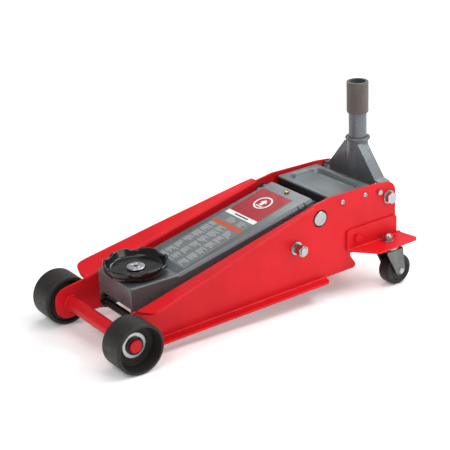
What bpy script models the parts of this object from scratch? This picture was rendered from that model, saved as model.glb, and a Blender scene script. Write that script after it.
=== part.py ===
"""Three-ton hydraulic trolley jack: every solid piece, with moving pieces hung on their own axes.

All pieces are drawn in the chassis frame: the front axle is the line y = 0, z = WHEEL_R,
-Y points to the saddle end, +Z is square to the tray.  stance() then leans the chassis nose
down by PITCH about the front axle, so that the front wheels and the casters share the floor.
Lengths are in metres.
"""
import math

import bmesh
import bpy
from mathutils import Matrix, Vector

# ---- stance ---------------------------------------------------------------------------
PITCH = math.radians(3.0)        # nose-down lean of the chassis on its wheels
Y_SHIFT = -0.2892                # moves the middle of the jack's length to y = 0
GAP = 0.0003                     # running gap between neighbouring pieces

# ---- front wheels and axle ------------------------------------------------------------
WHEEL_R = 0.045
WHEEL_IN = 0.0931
WHEEL_OUT = 0.1453
HUB_OUT = 0.1200                 # face of the hub at the bottom of the dish
AXLE_TUBE_R = 0.0130
AXLE_STUB_R = 0.0120
AXLE_END = 0.1290

# ---- side plates ----------------------------------------------------------------------
PLATE_OUT = 0.0868
PLATE_T = 0.0040
PLATE_IN = PLATE_OUT - PLATE_T
PLATE_REAR = 0.6095
FOLD_Z0 = 0.0768                 # height of the top fold at the front axle
FOLD_SLOPE = 0.2254              # rise of the top fold per metre towards the rear
TOP_FLANGE_END = 0.4100
BOTTOM_FLANGE_Z = 0.0168
BOTTOM_FLANGE_OUT = 0.1054

# ---- lift linkage (y, z) in the chassis frame -----------------------------------------
ARM_PIVOT = (0.4265, 0.1395)
ROD_PIVOT = (0.3700, 0.0980)
ROD_FRONT = (0.0480, 0.0465)
HEAD_PIVOT = (ROD_FRONT[0] + ARM_PIVOT[0] - ROD_PIVOT[0],
              ROD_FRONT[1] + ARM_PIVOT[1] - ROD_PIVOT[1])
ARM_FRONT = 0.1346
ARM_REAR = 0.4290
ARM_HALF = (0.0600, 0.0633)      # half-width at the front and rear ends
ARM_TOP = (0.1090, 0.1690)       # top height at the front and rear ends
ARM_T = 0.0040
HEAD_HALF = (0.0554, 0.0600)
HEAD_FRONT = 0.0402
HEAD_TOP = 0.1093
SEAM = 0.1338
CRANK_R = 0.0550                 # arm pivot to crank roller
CRANK_ANGLE = math.radians(33.0)
CRANK = (ARM_PIVOT[0] + CRANK_R * math.sin(CRANK_ANGLE),
         ARM_PIVOT[1] - CRANK_R * math.cos(CRANK_ANGLE))

# ---- saddle ---------------------------------------------------------------------------
SADDLE_Y = 0.0863
SADDLE_R = 0.0573
SADDLE_TOP = 0.1300
SADDLE_FLOOR = 0.1165

# ---- power unit -----------------------------------------------------------------------
UNIT_Z = 0.0890                  # axis of the ram
RAM_R = 0.0110
RAM_TIP = CRANK[0] + 0.0119
CYLINDER_FRONT = 0.4780
CYLINDER_R = 0.0220
BLOCK = (0.5345, 0.5690)         # front and rear faces of the pump block

# ---- tray -----------------------------------------------------------------------------
TRAY_HALF = 0.0797
TRAY_Y = (0.4580, 0.5560)
TRAY_TOP = 0.1680
TRAY_T = 0.0020

# ---- handle ---------------------------------------------------------------------------
YOKE_PIVOT = (0.5922, 0.1380)
COLLAR_Z = 0.2338
SOCKET_R = 0.0205
SOCKET_BORE = 0.0178
HANDLE_R = 0.0174
FOAM = (0.2840, 0.3440)
FOAM_R = 0.0210
LEVER_R = 0.0280                 # yoke pivot to plunger roller
LEVER_ANGLE = math.radians(25.0)
LEVER = (YOKE_PIVOT[0] + LEVER_R * math.sin(LEVER_ANGLE),
         YOKE_PIVOT[1] - LEVER_R * math.cos(LEVER_ANGLE))

# ---- rear casters ---------------------------------------------------------------------
SHELF_Z = (0.0560, 0.0604)       # underside and top of the bracket shelf
CASTER_X = 0.1060
CASTER_Y = 0.5740
CASTER_TRAIL = 0.0170
CASTER_R = 0.0300
CASTER_W = 0.0290
CASTER_AXLE_Z = (WHEEL_R + (CASTER_R - WHEEL_R
                 - (CASTER_Y + CASTER_TRAIL) * math.sin(PITCH)) / math.cos(PITCH))

SIDES = (("left", 1.0), ("right", -1.0))


# ---- placing --------------------------------------------------------------------------
def stance() -> Matrix:
    """Chassis frame to floor frame: lean about the front axle, then centre the length."""
    axle = Matrix.Translation((0.0, 0.0, WHEEL_R))
    lean = axle @ Matrix.Rotation(PITCH, 4, "X") @ axle.inverted()
    return Matrix.Translation((0.0, Y_SHIFT, 0.0)) @ lean


# ---- profiles -------------------------------------------------------------------------
def arc(cx, cy, radius, start, end, steps):
    """Points on an arc, angles in degrees, both ends included."""
    points = []
    for i in range(steps + 1):
        a = math.radians(start + (end - start) * i / steps)
        points.append((cx + radius * math.cos(a), cy + radius * math.sin(a)))
    return points


def circle(cx, cy, radius, steps):
    """A closed ring of points."""
    return arc(cx, cy, radius, 0.0, 360.0 * (steps - 1) / steps, steps - 1)


def rounded(corners, steps=5):
    """Polygon from (u, v, radius) corners, each corner turned into an arc of its radius."""
    points = []
    count = len(corners)
    for i, (u, v, radius) in enumerate(corners):
        here = Vector((u, v))
        if radius <= 0.0:
            points.append((u, v))
            continue
        before = Vector(corners[i - 1][:2]) - here
        after = Vector(corners[(i + 1) % count][:2]) - here
        half = before.angle(after) / 2.0
        reach = radius / math.tan(half)
        middle = here + (before.normalized() + after.normalized()).normalized() * (
            radius / math.sin(half))
        first = here + before.normalized() * reach - middle
        last = here + after.normalized() * reach - middle
        start = math.atan2(first.y, first.x)
        sweep = math.atan2(last.y, last.x) - start
        sweep = (sweep + math.pi) % (2.0 * math.pi) - math.pi
        for k in range(steps + 1):
            a = start + sweep * k / steps
            points.append((middle.x + radius * math.cos(a), middle.y + radius * math.sin(a)))
    return points


def box_profile(u0, u1, v0, v1, radius=0.0, steps=4):
    """Rectangle with rounded corners."""
    corners = [(u0, v0), (u1, v0), (u1, v1), (u0, v1)]
    return rounded([(u, v, radius) for u, v in corners], steps)


# ---- solids ---------------------------------------------------------------------------
def to_axis(u, v, w, axis):
    """Point with (u, v) in the profile plane and w along the axis."""
    if axis == "X":
        return (w, u, v)
    if axis == "Y":
        return (u, w, v)
    return (u, v, w)


def mesh_from(rings, closed_ring=False):
    """Skin a list of equal rings of 3-D points; cap the ends unless the rings close up."""
    bm = bmesh.new()
    rows = [[bm.verts.new(p) for p in ring] for ring in rings]
    count = len(rows[0])
    spans = len(rows) if closed_ring else len(rows) - 1
    for i in range(spans):
        a = rows[i]
        b = rows[(i + 1) % len(rows)]
        for k in range(count):
            n = (k + 1) % count
            bm.faces.new((a[k], a[n], b[n], b[k]))
    if not closed_ring:
        bm.faces.new(rows[0])
        bm.faces.new(list(reversed(rows[-1])))
    bmesh.ops.remove_doubles(bm, verts=bm.verts, dist=1e-6)
    loose = [edge for edge in bm.edges if edge.is_wire]
    bmesh.ops.delete(bm, geom=loose, context="EDGES")
    bmesh.ops.recalc_face_normals(bm, faces=bm.faces)
    mesh = bpy.data.meshes.new("piece")
    bm.to_mesh(mesh)
    bm.free()
    return mesh


def prism(profile, lo, hi, axis):
    """Profile pulled along an axis from lo to hi."""
    rings = [[to_axis(u, v, w, axis) for u, v in profile] for w in (lo, hi)]
    return mesh_from(rings)


def rod(cu, cv, radius, lo, hi, axis, steps=20):
    """Round bar along an axis."""
    return prism(circle(cu, cv, radius, steps), lo, hi, axis)


def hexagon(cu, cv, across, lo, hi, axis):
    """Six-sided bar, across = width over the flats."""
    return rod(cu, cv, across / math.sqrt(3.0), lo, hi, axis, 6)


def turned(profile, centre, axis, steps=32):
    """Profile of (radius, along) turned about an axis through centre; a closed outline."""
    rings = []
    for i in range(steps):
        a = 2.0 * math.pi * i / steps
        ring = []
        for r, w in profile:
            u, v = r * math.cos(a), r * math.sin(a)
            point = Vector(to_axis(u, v, w, axis)) + Vector(centre)
            ring.append(tuple(point))
        rings.append(ring)
    return mesh_from(rings, closed_ring=True)


def reshape(mesh, rule):
    """Move every point of a mesh by a rule taking and giving (x, y, z)."""
    for vertex in mesh.vertices:
        vertex.co = rule(*vertex.co)
    return mesh


def mirrored(mesh, sign):
    """The mesh itself, or its mirror image across x = 0 when sign is negative."""
    if sign > 0.0:
        return mesh
    bm = bmesh.new()
    bm.from_mesh(mesh)
    bmesh.ops.scale(bm, vec=(-1.0, 1.0, 1.0), verts=bm.verts)
    bmesh.ops.reverse_faces(bm, faces=bm.faces)
    bm.to_mesh(mesh)
    bm.free()
    return mesh


def combine(base, others, operation, solver):
    """Join or cut meshes one after another; gives a fresh mesh."""
    result = base
    for other in others:
        holder = bpy.data.objects.new("holder", result)
        tool = bpy.data.objects.new("tool", other)
        bpy.context.collection.objects.link(holder)
        bpy.context.collection.objects.link(tool)
        step = holder.modifiers.new("step", "BOOLEAN")
        step.operation = operation
        step.solver = solver
        step.object = tool
        bpy.context.view_layer.update()
        graph = bpy.context.evaluated_depsgraph_get()
        result = bpy.data.meshes.new_from_object(holder.evaluated_get(graph))
        bpy.data.objects.remove(holder)
        bpy.data.objects.remove(tool)
    return result


def join(base, *others, solver="EXACT"):
    """One solid out of several overlapping ones."""
    return combine(base, others, "UNION", solver)


def cut(base, *others, solver="EXACT"):
    """Base with the others taken away."""
    return combine(base, others, "DIFFERENCE", solver)


# ---- finishes -------------------------------------------------------------------------
class Finish:
    """Colour, roughness and metal share of one surface."""

    def __init__(self, rgb, rough, metal):
        self.rgb = rgb
        self.rough = rough
        self.metal = metal

    def material(self, name):
        """A Principled material carrying this finish."""
        made = bpy.data.materials.new(name)
        made.use_nodes = True
        shader = made.node_tree.nodes["Principled BSDF"]
        shader.inputs["Base Color"].default_value = (*self.rgb, 1.0)
        shader.inputs["Roughness"].default_value = self.rough
        shader.inputs["Metallic"].default_value = self.metal
        made.diffuse_color = (*self.rgb, 1.0)
        return made


RED = Finish((0.73, 0.025, 0.035), 0.38, 0.0)
GREY = Finish((0.17, 0.185, 0.195), 0.36, 0.55)
TRAY_GREY = Finish((0.24, 0.27, 0.275), 0.40, 0.55)
BLACK_PAINT = Finish((0.012, 0.012, 0.014), 0.45, 0.0)
BLACK_GLOSS = Finish((0.010, 0.009, 0.008), 0.16, 0.0)
WHEEL_BLACK = Finish((0.028, 0.025, 0.022), 0.52, 0.0)
ZINC = Finish((0.62, 0.63, 0.64), 0.25, 1.0)
STEEL = Finish((0.42, 0.43, 0.44), 0.34, 1.0)
BRASS = Finish((0.60, 0.44, 0.16), 0.35, 1.0)
DARK_STEEL = Finish((0.085, 0.090, 0.095), 0.42, 0.85)
FORK_GREY = Finish((0.14, 0.145, 0.14), 0.45, 0.75)
FOAM_BROWN = Finish((0.105, 0.085, 0.075), 0.85, 0.0)
LABEL = Finish((0.55, 0.02, 0.03), 0.30, 0.0)


def publish(name, mesh, finish, origin=(0.0, 0.0, 0.0)):
    """Stand one piece on the floor frame with its origin on the given chassis point."""
    frame = stance()
    seat = frame @ Vector(origin)
    mesh.transform(Matrix.Translation(-seat) @ frame)
    mesh.name = name
    mesh.materials.clear()
    mesh.materials.append(finish.material(name + "_finish"))
    for face in mesh.polygons:
        face.material_index = 0
        face.use_smooth = True
    mesh.set_sharp_from_angle(angle=math.radians(32.0))
    piece = bpy.data.objects.new(name, mesh)
    piece.location = seat
    bpy.context.collection.objects.link(piece)
    return piece


# ---- chassis --------------------------------------------------------------------------
def fold_height(y):
    """Height of the top fold of the side plates."""
    return FOLD_Z0 + FOLD_SLOPE * y


def side_plate(sign):
    """Folded side plate: web, rising top flange, flat bottom flange and its holes."""
    web = prism(rounded([
        (-0.0310, 0.0186, 0.0240),
        (0.5150, 0.0186, 0.0060),
        (0.4900, 0.0560, 0.0080),
        (PLATE_REAR, 0.0560, 0.0020),
        (PLATE_REAR, 0.1655, 0.0220),
        (0.5600, 0.1712, 0.0),
        (0.4500, 0.1738, 0.0300),
        (0.4080, fold_height(0.4080) - 0.0010, 0.0),
        (-0.0310, 0.0735, 0.0240),
    ]), PLATE_IN, PLATE_OUT, "X")
    top = prism([
        (PLATE_IN + 0.0004, 0.0300), (0.1019, 0.0315), (0.1150, 0.0360), (0.1240, 0.0430),
        (0.1290, 0.0530), (0.1160, 0.2100), (0.0990, 0.3800), (0.0975, 0.4020),
        (0.0940, 0.4080), (PLATE_IN + 0.0004, 0.4120),
    ], -PLATE_T, 0.0, "Z")
    reshape(top, lambda x, y, z: (x, y, z + fold_height(y) + 0.16 * (x - PLATE_IN)))
    bottom = prism(rounded([
        (PLATE_IN + 0.0004, 0.0480, 0.0),
        (BOTTOM_FLANGE_OUT, 0.0480, 0.0100),
        (BOTTOM_FLANGE_OUT, 0.4340, 0.0100),
        (PLATE_IN + 0.0004, 0.4390, 0.0),
    ]), BOTTOM_FLANGE_Z - 0.0018, BOTTOM_FLANGE_Z + 0.0022, "Z")
    plate = join(web, top, bottom)
    holes = [
        (ARM_PIVOT, 0.0165), (ROD_PIVOT, 0.0083), ((0.0, WHEEL_R), AXLE_STUB_R + GAP),
        (YOKE_PIVOT, 0.0083), ((0.5680, 0.1540), 0.0034), ((0.4790, 0.1575), 0.0029),
        ((0.5335, 0.1570), 0.0029), ((0.5100, 0.0800), 0.0043),
    ]
    for (y, z), radius in holes:
        plate = cut(plate, rod(y, z, radius, 0.07, 0.10, "X", 24))
    return mirrored(plate, sign)


def build_chassis():
    """Side plates, front axle, cross plate under the power unit and caster brackets."""
    for side, sign in SIDES:
        publish("side_plate_" + side, side_plate(sign), RED)
        upright = prism(rounded([
            (0.4870, SHELF_Z[0], 0.0),
            (0.6095, SHELF_Z[0], 0.0),
            (0.6095, 0.0985, 0.0060),
            (0.4870, 0.0985, 0.0060),
        ]), PLATE_OUT + GAP, PLATE_OUT + 0.0043, "X")
        shelf = prism(rounded([
            (PLATE_OUT + GAP, 0.4874, 0.0),
            (0.1360, 0.5260, 0.0080),
            (0.1335, 0.6260, 0.0070),
            (PLATE_OUT + GAP, 0.6185, 0.0020),
        ]), SHELF_Z[0], SHELF_Z[1], "Z")
        bracket = join(upright, shelf)
        bracket = cut(bracket, rod(CASTER_X, CASTER_Y, 0.0053, 0.05, 0.07, "Z"),
                      rod(0.5100, 0.0800, 0.0043, 0.08, 0.10, "X"))
        publish("caster_bracket_" + side, mirrored(bracket, sign), RED)
        bolt = join(rod(0.5100, 0.0800, 0.0040, PLATE_IN - 0.0060, 0.0950, "X", 16),
                    hexagon(0.5100, 0.0800, 0.0125, 0.0914, 0.0970, "X"),
                    hexagon(0.5100, 0.0800, 0.0125, PLATE_IN - 0.0060, PLATE_IN - GAP, "X"))
        publish("bracket_bolt_" + side, mirrored(bolt, sign), ZINC)
    inner = PLATE_IN - GAP
    axle = turned([(0.0, -AXLE_END), (0.0105, -AXLE_END), (AXLE_STUB_R, -AXLE_END + 0.0015),
                   (AXLE_STUB_R, -inner), (AXLE_TUBE_R, -inner), (AXLE_TUBE_R, inner),
                   (AXLE_STUB_R, inner), (AXLE_STUB_R, AXLE_END - 0.0015),
                   (0.0105, AXLE_END), (0.0, AXLE_END)],
                  (0.0, 0.0, WHEEL_R), "X", 32)
    publish("front_axle", axle, RED)
    floor = prism(box_profile(-inner, inner, 0.5000, 0.5800, 0.0), 0.0480, 0.0520, "Z")
    publish("unit_cross_plate", floor, RED)


# ---- front wheels ---------------------------------------------------------------------
def build_front_wheels():
    """Dished cast wheels with washer and spring clip on the axle stubs."""
    bore = AXLE_STUB_R + GAP
    outline = [
        (bore, WHEEL_IN), (0.0180, WHEEL_IN), (0.0400, WHEEL_IN), (0.0430, WHEEL_IN + 0.0004),
        (WHEEL_R, WHEEL_IN + 0.0030), (WHEEL_R, WHEEL_OUT - 0.0030),
        (0.0434, WHEEL_OUT - 0.0006), (0.0405, WHEEL_OUT), (0.0392, WHEEL_OUT - 0.0008),
        (0.0370, 0.1260), (0.0350, HUB_OUT - 0.0010), (0.0330, HUB_OUT), (bore, HUB_OUT),
    ]
    for side, sign in SIDES:
        centre = (0.0, 0.0, WHEEL_R)
        publish("front_wheel_" + side, mirrored(turned(outline, centre, "X", 40), sign),
                WHEEL_BLACK, origin=(sign * 0.119, 0.0, WHEEL_R))
        washer = turned([(bore, HUB_OUT + GAP), (0.0225, HUB_OUT + GAP),
                         (0.0225, HUB_OUT + 0.0023), (bore, HUB_OUT + 0.0023)],
                        centre, "X", 32)
        publish("hub_washer_" + side, mirrored(washer, sign), ZINC)
        clip = turned([(bore, 0.1232), (0.0162, 0.1232), (0.0162, 0.1252), (bore, 0.1252)],
                      centre, "X", 32)
        publish("axle_clip_" + side, mirrored(clip, sign), BLACK_PAINT)


# ---- lift linkage ---------------------------------------------------------------------
def blend(pair, y, y0, y1):
    """Straight-line value of a (front, rear) pair at y."""
    t = (y - y0) / (y1 - y0)
    return pair[0] + (pair[1] - pair[0]) * t


def channel_ring(half, top, low, y, corner):
    """Section of the arm: inverted channel with rounded top edges."""
    outer = arc(half - corner, top - corner, corner, 0.0, 90.0, 4)
    inner_r = corner - ARM_T
    inner = arc(half - corner, top - corner, inner_r, 90.0, 0.0, 4)
    right = [(half, low)] + outer
    back = inner + [(half - ARM_T, low)]
    left = [(-x, z) for x, z in reversed(right)]
    under = [(-x, z) for x, z in reversed(back)]
    return [(x, y, z) for x, z in right + left + under + back]


def lift_arm():
    """Channel, two inner cheek plates that carry the pivots and the crank lugs."""
    rings = []
    for y in (ARM_FRONT, ARM_REAR):
        half = blend(ARM_HALF, y, ARM_FRONT, ARM_REAR)
        top = blend(ARM_TOP, y, ARM_FRONT, ARM_REAR)
        low = blend((0.0790, 0.1215), y, ARM_FRONT, ARM_REAR)
        rings.append(channel_ring(half, top, low, y, 0.0070))
    arm = mesh_from(rings)
    cheek = rounded([
        (HEAD_PIVOT[0] - 0.0135, HEAD_PIVOT[1] - 0.0135, 0.0130),
        (0.2100, 0.0830, 0.0),
        (0.3950, 0.1150, 0.0200),
        (CRANK[0] - 0.0260, CRANK[1] + 0.0050, 0.0120),
        (CRANK[0] + 0.0020, CRANK[1] - 0.0150, 0.0120),
        (CRANK[0] + 0.0170, CRANK[1] + 0.0060, 0.0120),
        (ARM_PIVOT[0] + 0.0230, ARM_PIVOT[1] + 0.0210, 0.0200),
        (ARM_PIVOT[0] - 0.0300, ARM_PIVOT[1] + 0.0190, 0.0150),
        (HEAD_PIVOT[0] + 0.0300, HEAD_PIVOT[1] + 0.0140, 0.0060),
        (HEAD_PIVOT[0] - 0.0135, HEAD_PIVOT[1] + 0.0125, 0.0120),
    ])
    for sign in (1.0, -1.0):
        arm = join(arm, prism(cheek, sign * 0.0488, sign * 0.0528, "X"))
        block = prism(rounded([
            (0.1500, 0.0850, 0.0), (0.4200, 0.1290, 0.0), (0.4200, 0.1500, 0.0),
            (0.1500, 0.1000, 0.0),
        ]), sign * 0.0520, sign * 0.0575, "X")
        arm = join(arm, block)
        boss = rod(*ARM_PIVOT, 0.0200, sign * 0.0520, sign * 0.0660, "X", 28)
        arm = join(arm, boss)
    arm = cut(arm, rod(*ARM_PIVOT, 0.0143, -0.09, 0.09, "X", 28),
              rod(*HEAD_PIVOT, 0.0083, -0.09, 0.09, "X"),
              rod(*CRANK, 0.0063, -0.09, 0.09, "X"),
              rod(0.0, 0.4190, 0.0033, 0.10, 0.20, "Z", 16))
    return arm


def saddle_bracket():
    """Head box: two cheeks, top plate and short front plate, open below and behind."""
    seat = SADDLE_Y
    swing = arc(*HEAD_PIVOT, SEAM - HEAD_PIVOT[0], -115.0, 0.0, 8)
    low_end = [(HEAD_FRONT, 0.0345, 0.0100), (0.0650, 0.0345, 0.0080)]
    top_end = [(SEAM, HEAD_TOP, 0.0), (HEAD_FRONT, HEAD_TOP, 0.0030)]
    outline = rounded(low_end + [(u, v, 0.0) for u, v in swing] + top_end)
    block = prism(outline, -1.0, 1.0, "X")
    hollow = join(
        prism([(HEAD_FRONT + 0.0045, 0.0), (0.20, 0.0), (0.20, HEAD_TOP - 0.0045),
               (HEAD_FRONT + 0.0045, HEAD_TOP - 0.0045)], -0.925, 0.925, "X"),
        prism([(0.0, 0.0), (0.10, 0.0), (0.10, 0.0698), (0.0, 0.0698)], -0.924, 0.924, "X"))
    block = cut(block, hollow)
    reshape(block, lambda x, y, z: (
        x * blend(HEAD_HALF, y, HEAD_FRONT, SEAM) - math.copysign(
            0.0030 * max(0.0, (z - HEAD_TOP + 0.0048) / 0.0048) ** 2, x), y, z))
    return cut(block, rod(0.0, seat, 0.0103, 0.08, 0.12, "Z"),
               rod(*HEAD_PIVOT, 0.0083, -0.09, 0.09, "X"),
               rod(*ROD_FRONT, 0.0073, -0.09, 0.09, "X"))


def saddle():
    """Cupped saddle with six low places round its rim."""
    cup = turned([
        (0.0, SADDLE_FLOOR - 0.0045), (0.0100, SADDLE_FLOOR - 0.0045),
        (0.0420, HEAD_TOP + GAP), (0.0470, HEAD_TOP + GAP), (0.0520, HEAD_TOP + 0.0040),
        (SADDLE_R - 0.0010, 0.1210), (SADDLE_R, SADDLE_TOP - 0.0010),
        (SADDLE_R - 0.0012, SADDLE_TOP), (SADDLE_R - 0.0045, SADDLE_TOP),
        (SADDLE_R - 0.0070, SADDLE_TOP - 0.0040), (0.0470, SADDLE_FLOOR + 0.0010),
        (0.0440, SADDLE_FLOOR), (0.0, SADDLE_FLOOR),
    ], (0.0, SADDLE_Y, 0.0), "Z", 42)
    post = rod(0.0, SADDLE_Y, 0.0100, 0.0990, SADDLE_FLOOR - 0.0020, "Z")
    cup = join(cup, post, solver="MANIFOLD")
    for k in range(6):
        a = 2.0 * math.pi * (k + 0.5) / 6.0
        notch = prism(rounded([(-0.0060, -0.0035, 0.0), (0.0060, -0.0035, 0.0),
                               (0.0090, 0.0030, 0.0), (-0.0090, 0.0030, 0.0)]),
                      0.0440, 0.0620, "X")
        turn = Matrix.Translation((0.0, SADDLE_Y, SADDLE_TOP)) @ Matrix.Rotation(a, 4, "Z")
        notch.transform(turn)
        cup = cut(cup, notch, solver="MANIFOLD")
    return cut(cup, rod(0.0, SADDLE_Y, 0.0053, 0.09, 0.13, "Z"),
               rod(0.0, SADDLE_Y, 0.0172, SADDLE_FLOOR - 0.0022, 0.13, "Z", 32),
               solver="MANIFOLD")


def tie_rod(sign):
    """Flat link between the fixed rod pivot and the front pin."""
    dy = ROD_PIVOT[0] - ROD_FRONT[0]
    dz = ROD_PIVOT[1] - ROD_FRONT[1]
    tilt = math.degrees(math.atan2(dz, dy))
    outline = (arc(*ROD_FRONT, 0.0105, tilt + 90.0, tilt + 270.0, 10)
               + arc(*ROD_PIVOT, 0.0120, tilt - 90.0, tilt + 90.0, 10))
    bar = prism(outline, 0.0430, 0.0480, "X")
    bar = cut(bar, rod(*ROD_PIVOT, 0.0083, 0.03, 0.06, "X"),
              rod(*ROD_FRONT, 0.0073, 0.03, 0.06, "X"))
    return mirrored(bar, sign)


def build_linkage():
    """Lift arm, head, saddle, tie rods and the pins they turn on."""
    arm_axis = (0.0, *ARM_PIVOT)
    head_axis = (0.0, *HEAD_PIVOT)
    rod_axis = (0.0, *ROD_PIVOT)
    publish("lift_arm", lift_arm(), GREY, origin=arm_axis)
    publish("arm_label", arm_label(), LABEL, origin=arm_axis)
    screw_z = blend(ARM_TOP, 0.4190, ARM_FRONT, ARM_REAR)
    screw = join(rod(0.0, 0.4190, 0.0030, screw_z - 0.0080, screw_z + 0.0020, "Z", 16),
                 rod(0.0, 0.4190, 0.0052, screw_z + 0.0012, screw_z + 0.0034, "Z", 20))
    publish("arm_rear_screw", screw, BRASS, origin=arm_axis)
    crank = join(rod(*CRANK, 0.0060, -0.0535, 0.0535, "X"),
                 rod(*CRANK, 0.0110, -0.0170, 0.0170, "X", 28))
    publish("crank_roller", crank, STEEL, origin=arm_axis)
    head_pin = rod(*HEAD_PIVOT, 0.0080, -0.0572, 0.0572, "X")
    publish("head_pivot_pin", head_pin, DARK_STEEL, origin=arm_axis)
    publish("saddle_bracket", saddle_bracket(), GREY, origin=head_axis)
    front_pin = rod(*ROD_FRONT, 0.0070, -0.0560, 0.0560, "X")
    publish("tie_rod_front_pin", front_pin, DARK_STEEL, origin=head_axis)
    publish("saddle", saddle(), BLACK_GLOSS, origin=(0.0, SADDLE_Y, SADDLE_FLOOR))
    floor = SADDLE_FLOOR - 0.0022 + GAP
    screw = join(rod(0.0, SADDLE_Y, 0.0050, 0.0962, floor + 0.0020, "Z", 20),
                 turned([(0.0, floor), (0.0140, floor), (0.0166, floor + 0.0030),
                         (0.0166, floor + 0.0042), (0.0150, floor + 0.0052),
                         (0.0, floor + 0.0052)], (0.0, SADDLE_Y, 0.0), "Z", 32))
    socket = hexagon(0.0, SADDLE_Y, 0.0085, floor + 0.0015, 0.13, "Z")
    publish("saddle_screw", cut(screw, socket), ZINC, origin=head_axis)
    for side, sign in SIDES:
        publish("tie_rod_" + side, tie_rod(sign), DARK_STEEL, origin=rod_axis)
    bolt = rod(*ROD_PIVOT, 0.0080, -0.1105, 0.1105, "X")
    for sign in (1.0, -1.0):
        bolt = join(
            bolt,
            rod(*ROD_PIVOT, 0.0125, sign * 0.0871, sign * 0.0890, "X", 28),
            hexagon(*ROD_PIVOT, 0.0170, sign * 0.0885, sign * 0.0990, "X"),
            hexagon(*ROD_PIVOT, 0.0190, sign * 0.0985, sign * 0.1085, "X"))
    publish("tie_rod_bolt", bolt, ZINC)
    pin = rod(*ARM_PIVOT, 0.0140, -0.0885, 0.0885, "X", 32)
    for sign in (1.0, -1.0):
        pin = join(pin, rod(*ARM_PIVOT, 0.0210, sign * 0.0665, sign * 0.0822, "X", 32))
    publish("arm_pivot_pin", pin, STEEL)


def arm_label():
    """Thin printed sheet lying on the flat of the arm."""
    lift = 0.00010
    sheet = prism(box_profile(-0.0440, 0.0440, 0.1460, 0.3980, 0.0020), 0.0, 0.0003, "Z")
    slope = (ARM_TOP[1] - ARM_TOP[0]) / (ARM_REAR - ARM_FRONT)
    return reshape(sheet, lambda x, y, z: (
        x, y, z + ARM_TOP[0] + slope * (y - ARM_FRONT) + lift))


# ---- power unit -----------------------------------------------------------------------
def build_power_unit():
    """Ram cylinder inside its reservoir, pump block, plunger and release valve."""
    reservoir = turned([(CYLINDER_R + GAP, 0.4860), (0.0320, 0.4860), (0.0340, 0.4880),
                        (0.0340, 0.5322), (0.0320, 0.5342), (CYLINDER_R + GAP, 0.5342)],
                       (0.0, 0.0, UNIT_Z), "Y", 36)
    publish("reservoir", reservoir, RED)
    cylinder = turned([(RAM_R + GAP, CYLINDER_FRONT), (0.0200, CYLINDER_FRONT),
                       (CYLINDER_R, CYLINDER_FRONT + 0.0020), (CYLINDER_R, 0.5342),
                       (0.0, 0.5342), (0.0, 0.5300), (RAM_R + GAP, 0.5300)],
                      (0.0, 0.0, UNIT_Z), "Y", 32)
    publish("hydraulic_cylinder", cylinder, DARK_STEEL)
    ram = turned([(0.0, RAM_TIP), (0.0135, RAM_TIP), (0.0145, RAM_TIP + 0.0010),
                  (0.0145, RAM_TIP + 0.0060), (RAM_R, RAM_TIP + 0.0075),
                  (RAM_R, 0.5290), (0.0, 0.5290)], (0.0, 0.0, UNIT_Z), "Y", 32)
    publish("ram", ram, ZINC, origin=(0.0, RAM_TIP, UNIT_Z))
    block = prism(box_profile(-0.0380, 0.0380, 0.0523, 0.1250, 0.0080), *BLOCK, "Y")
    block = cut(block, rod(0.0, LEVER[1], 0.0073, 0.5400, 0.60, "Y"),
                rod(0.0240, 0.0760, 0.0063, 0.5600, 0.60, "Y"))
    publish("pump_block", block, DARK_STEEL)
    tip = LEVER[0] - 0.0063
    plunger = turned([(0.0, 0.5650), (0.0070, 0.5650), (0.0070, tip - 0.0040),
                      (0.0090, tip - 0.0030), (0.0090, tip - 0.0006), (0.0084, tip),
                      (0.0, tip)], (0.0, 0.0, LEVER[1]), "Y", 24)
    publish("pump_plunger", plunger, ZINC, origin=(0.0, tip, LEVER[1]))
    valve = join(rod(0.0240, 0.0760, 0.0060, 0.5620, 0.5960, "Y", 20),
                 hexagon(0.0240, 0.0760, 0.0150, 0.5780, 0.5850, "Y"),
                 prism(box_profile(0.0215, 0.0265, 0.0660, 0.0860, 0.0015), 0.5950, 0.6040, "Y"))
    publish("release_valve", valve, ZINC, origin=(0.0240, 0.5850, 0.0760))


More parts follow.
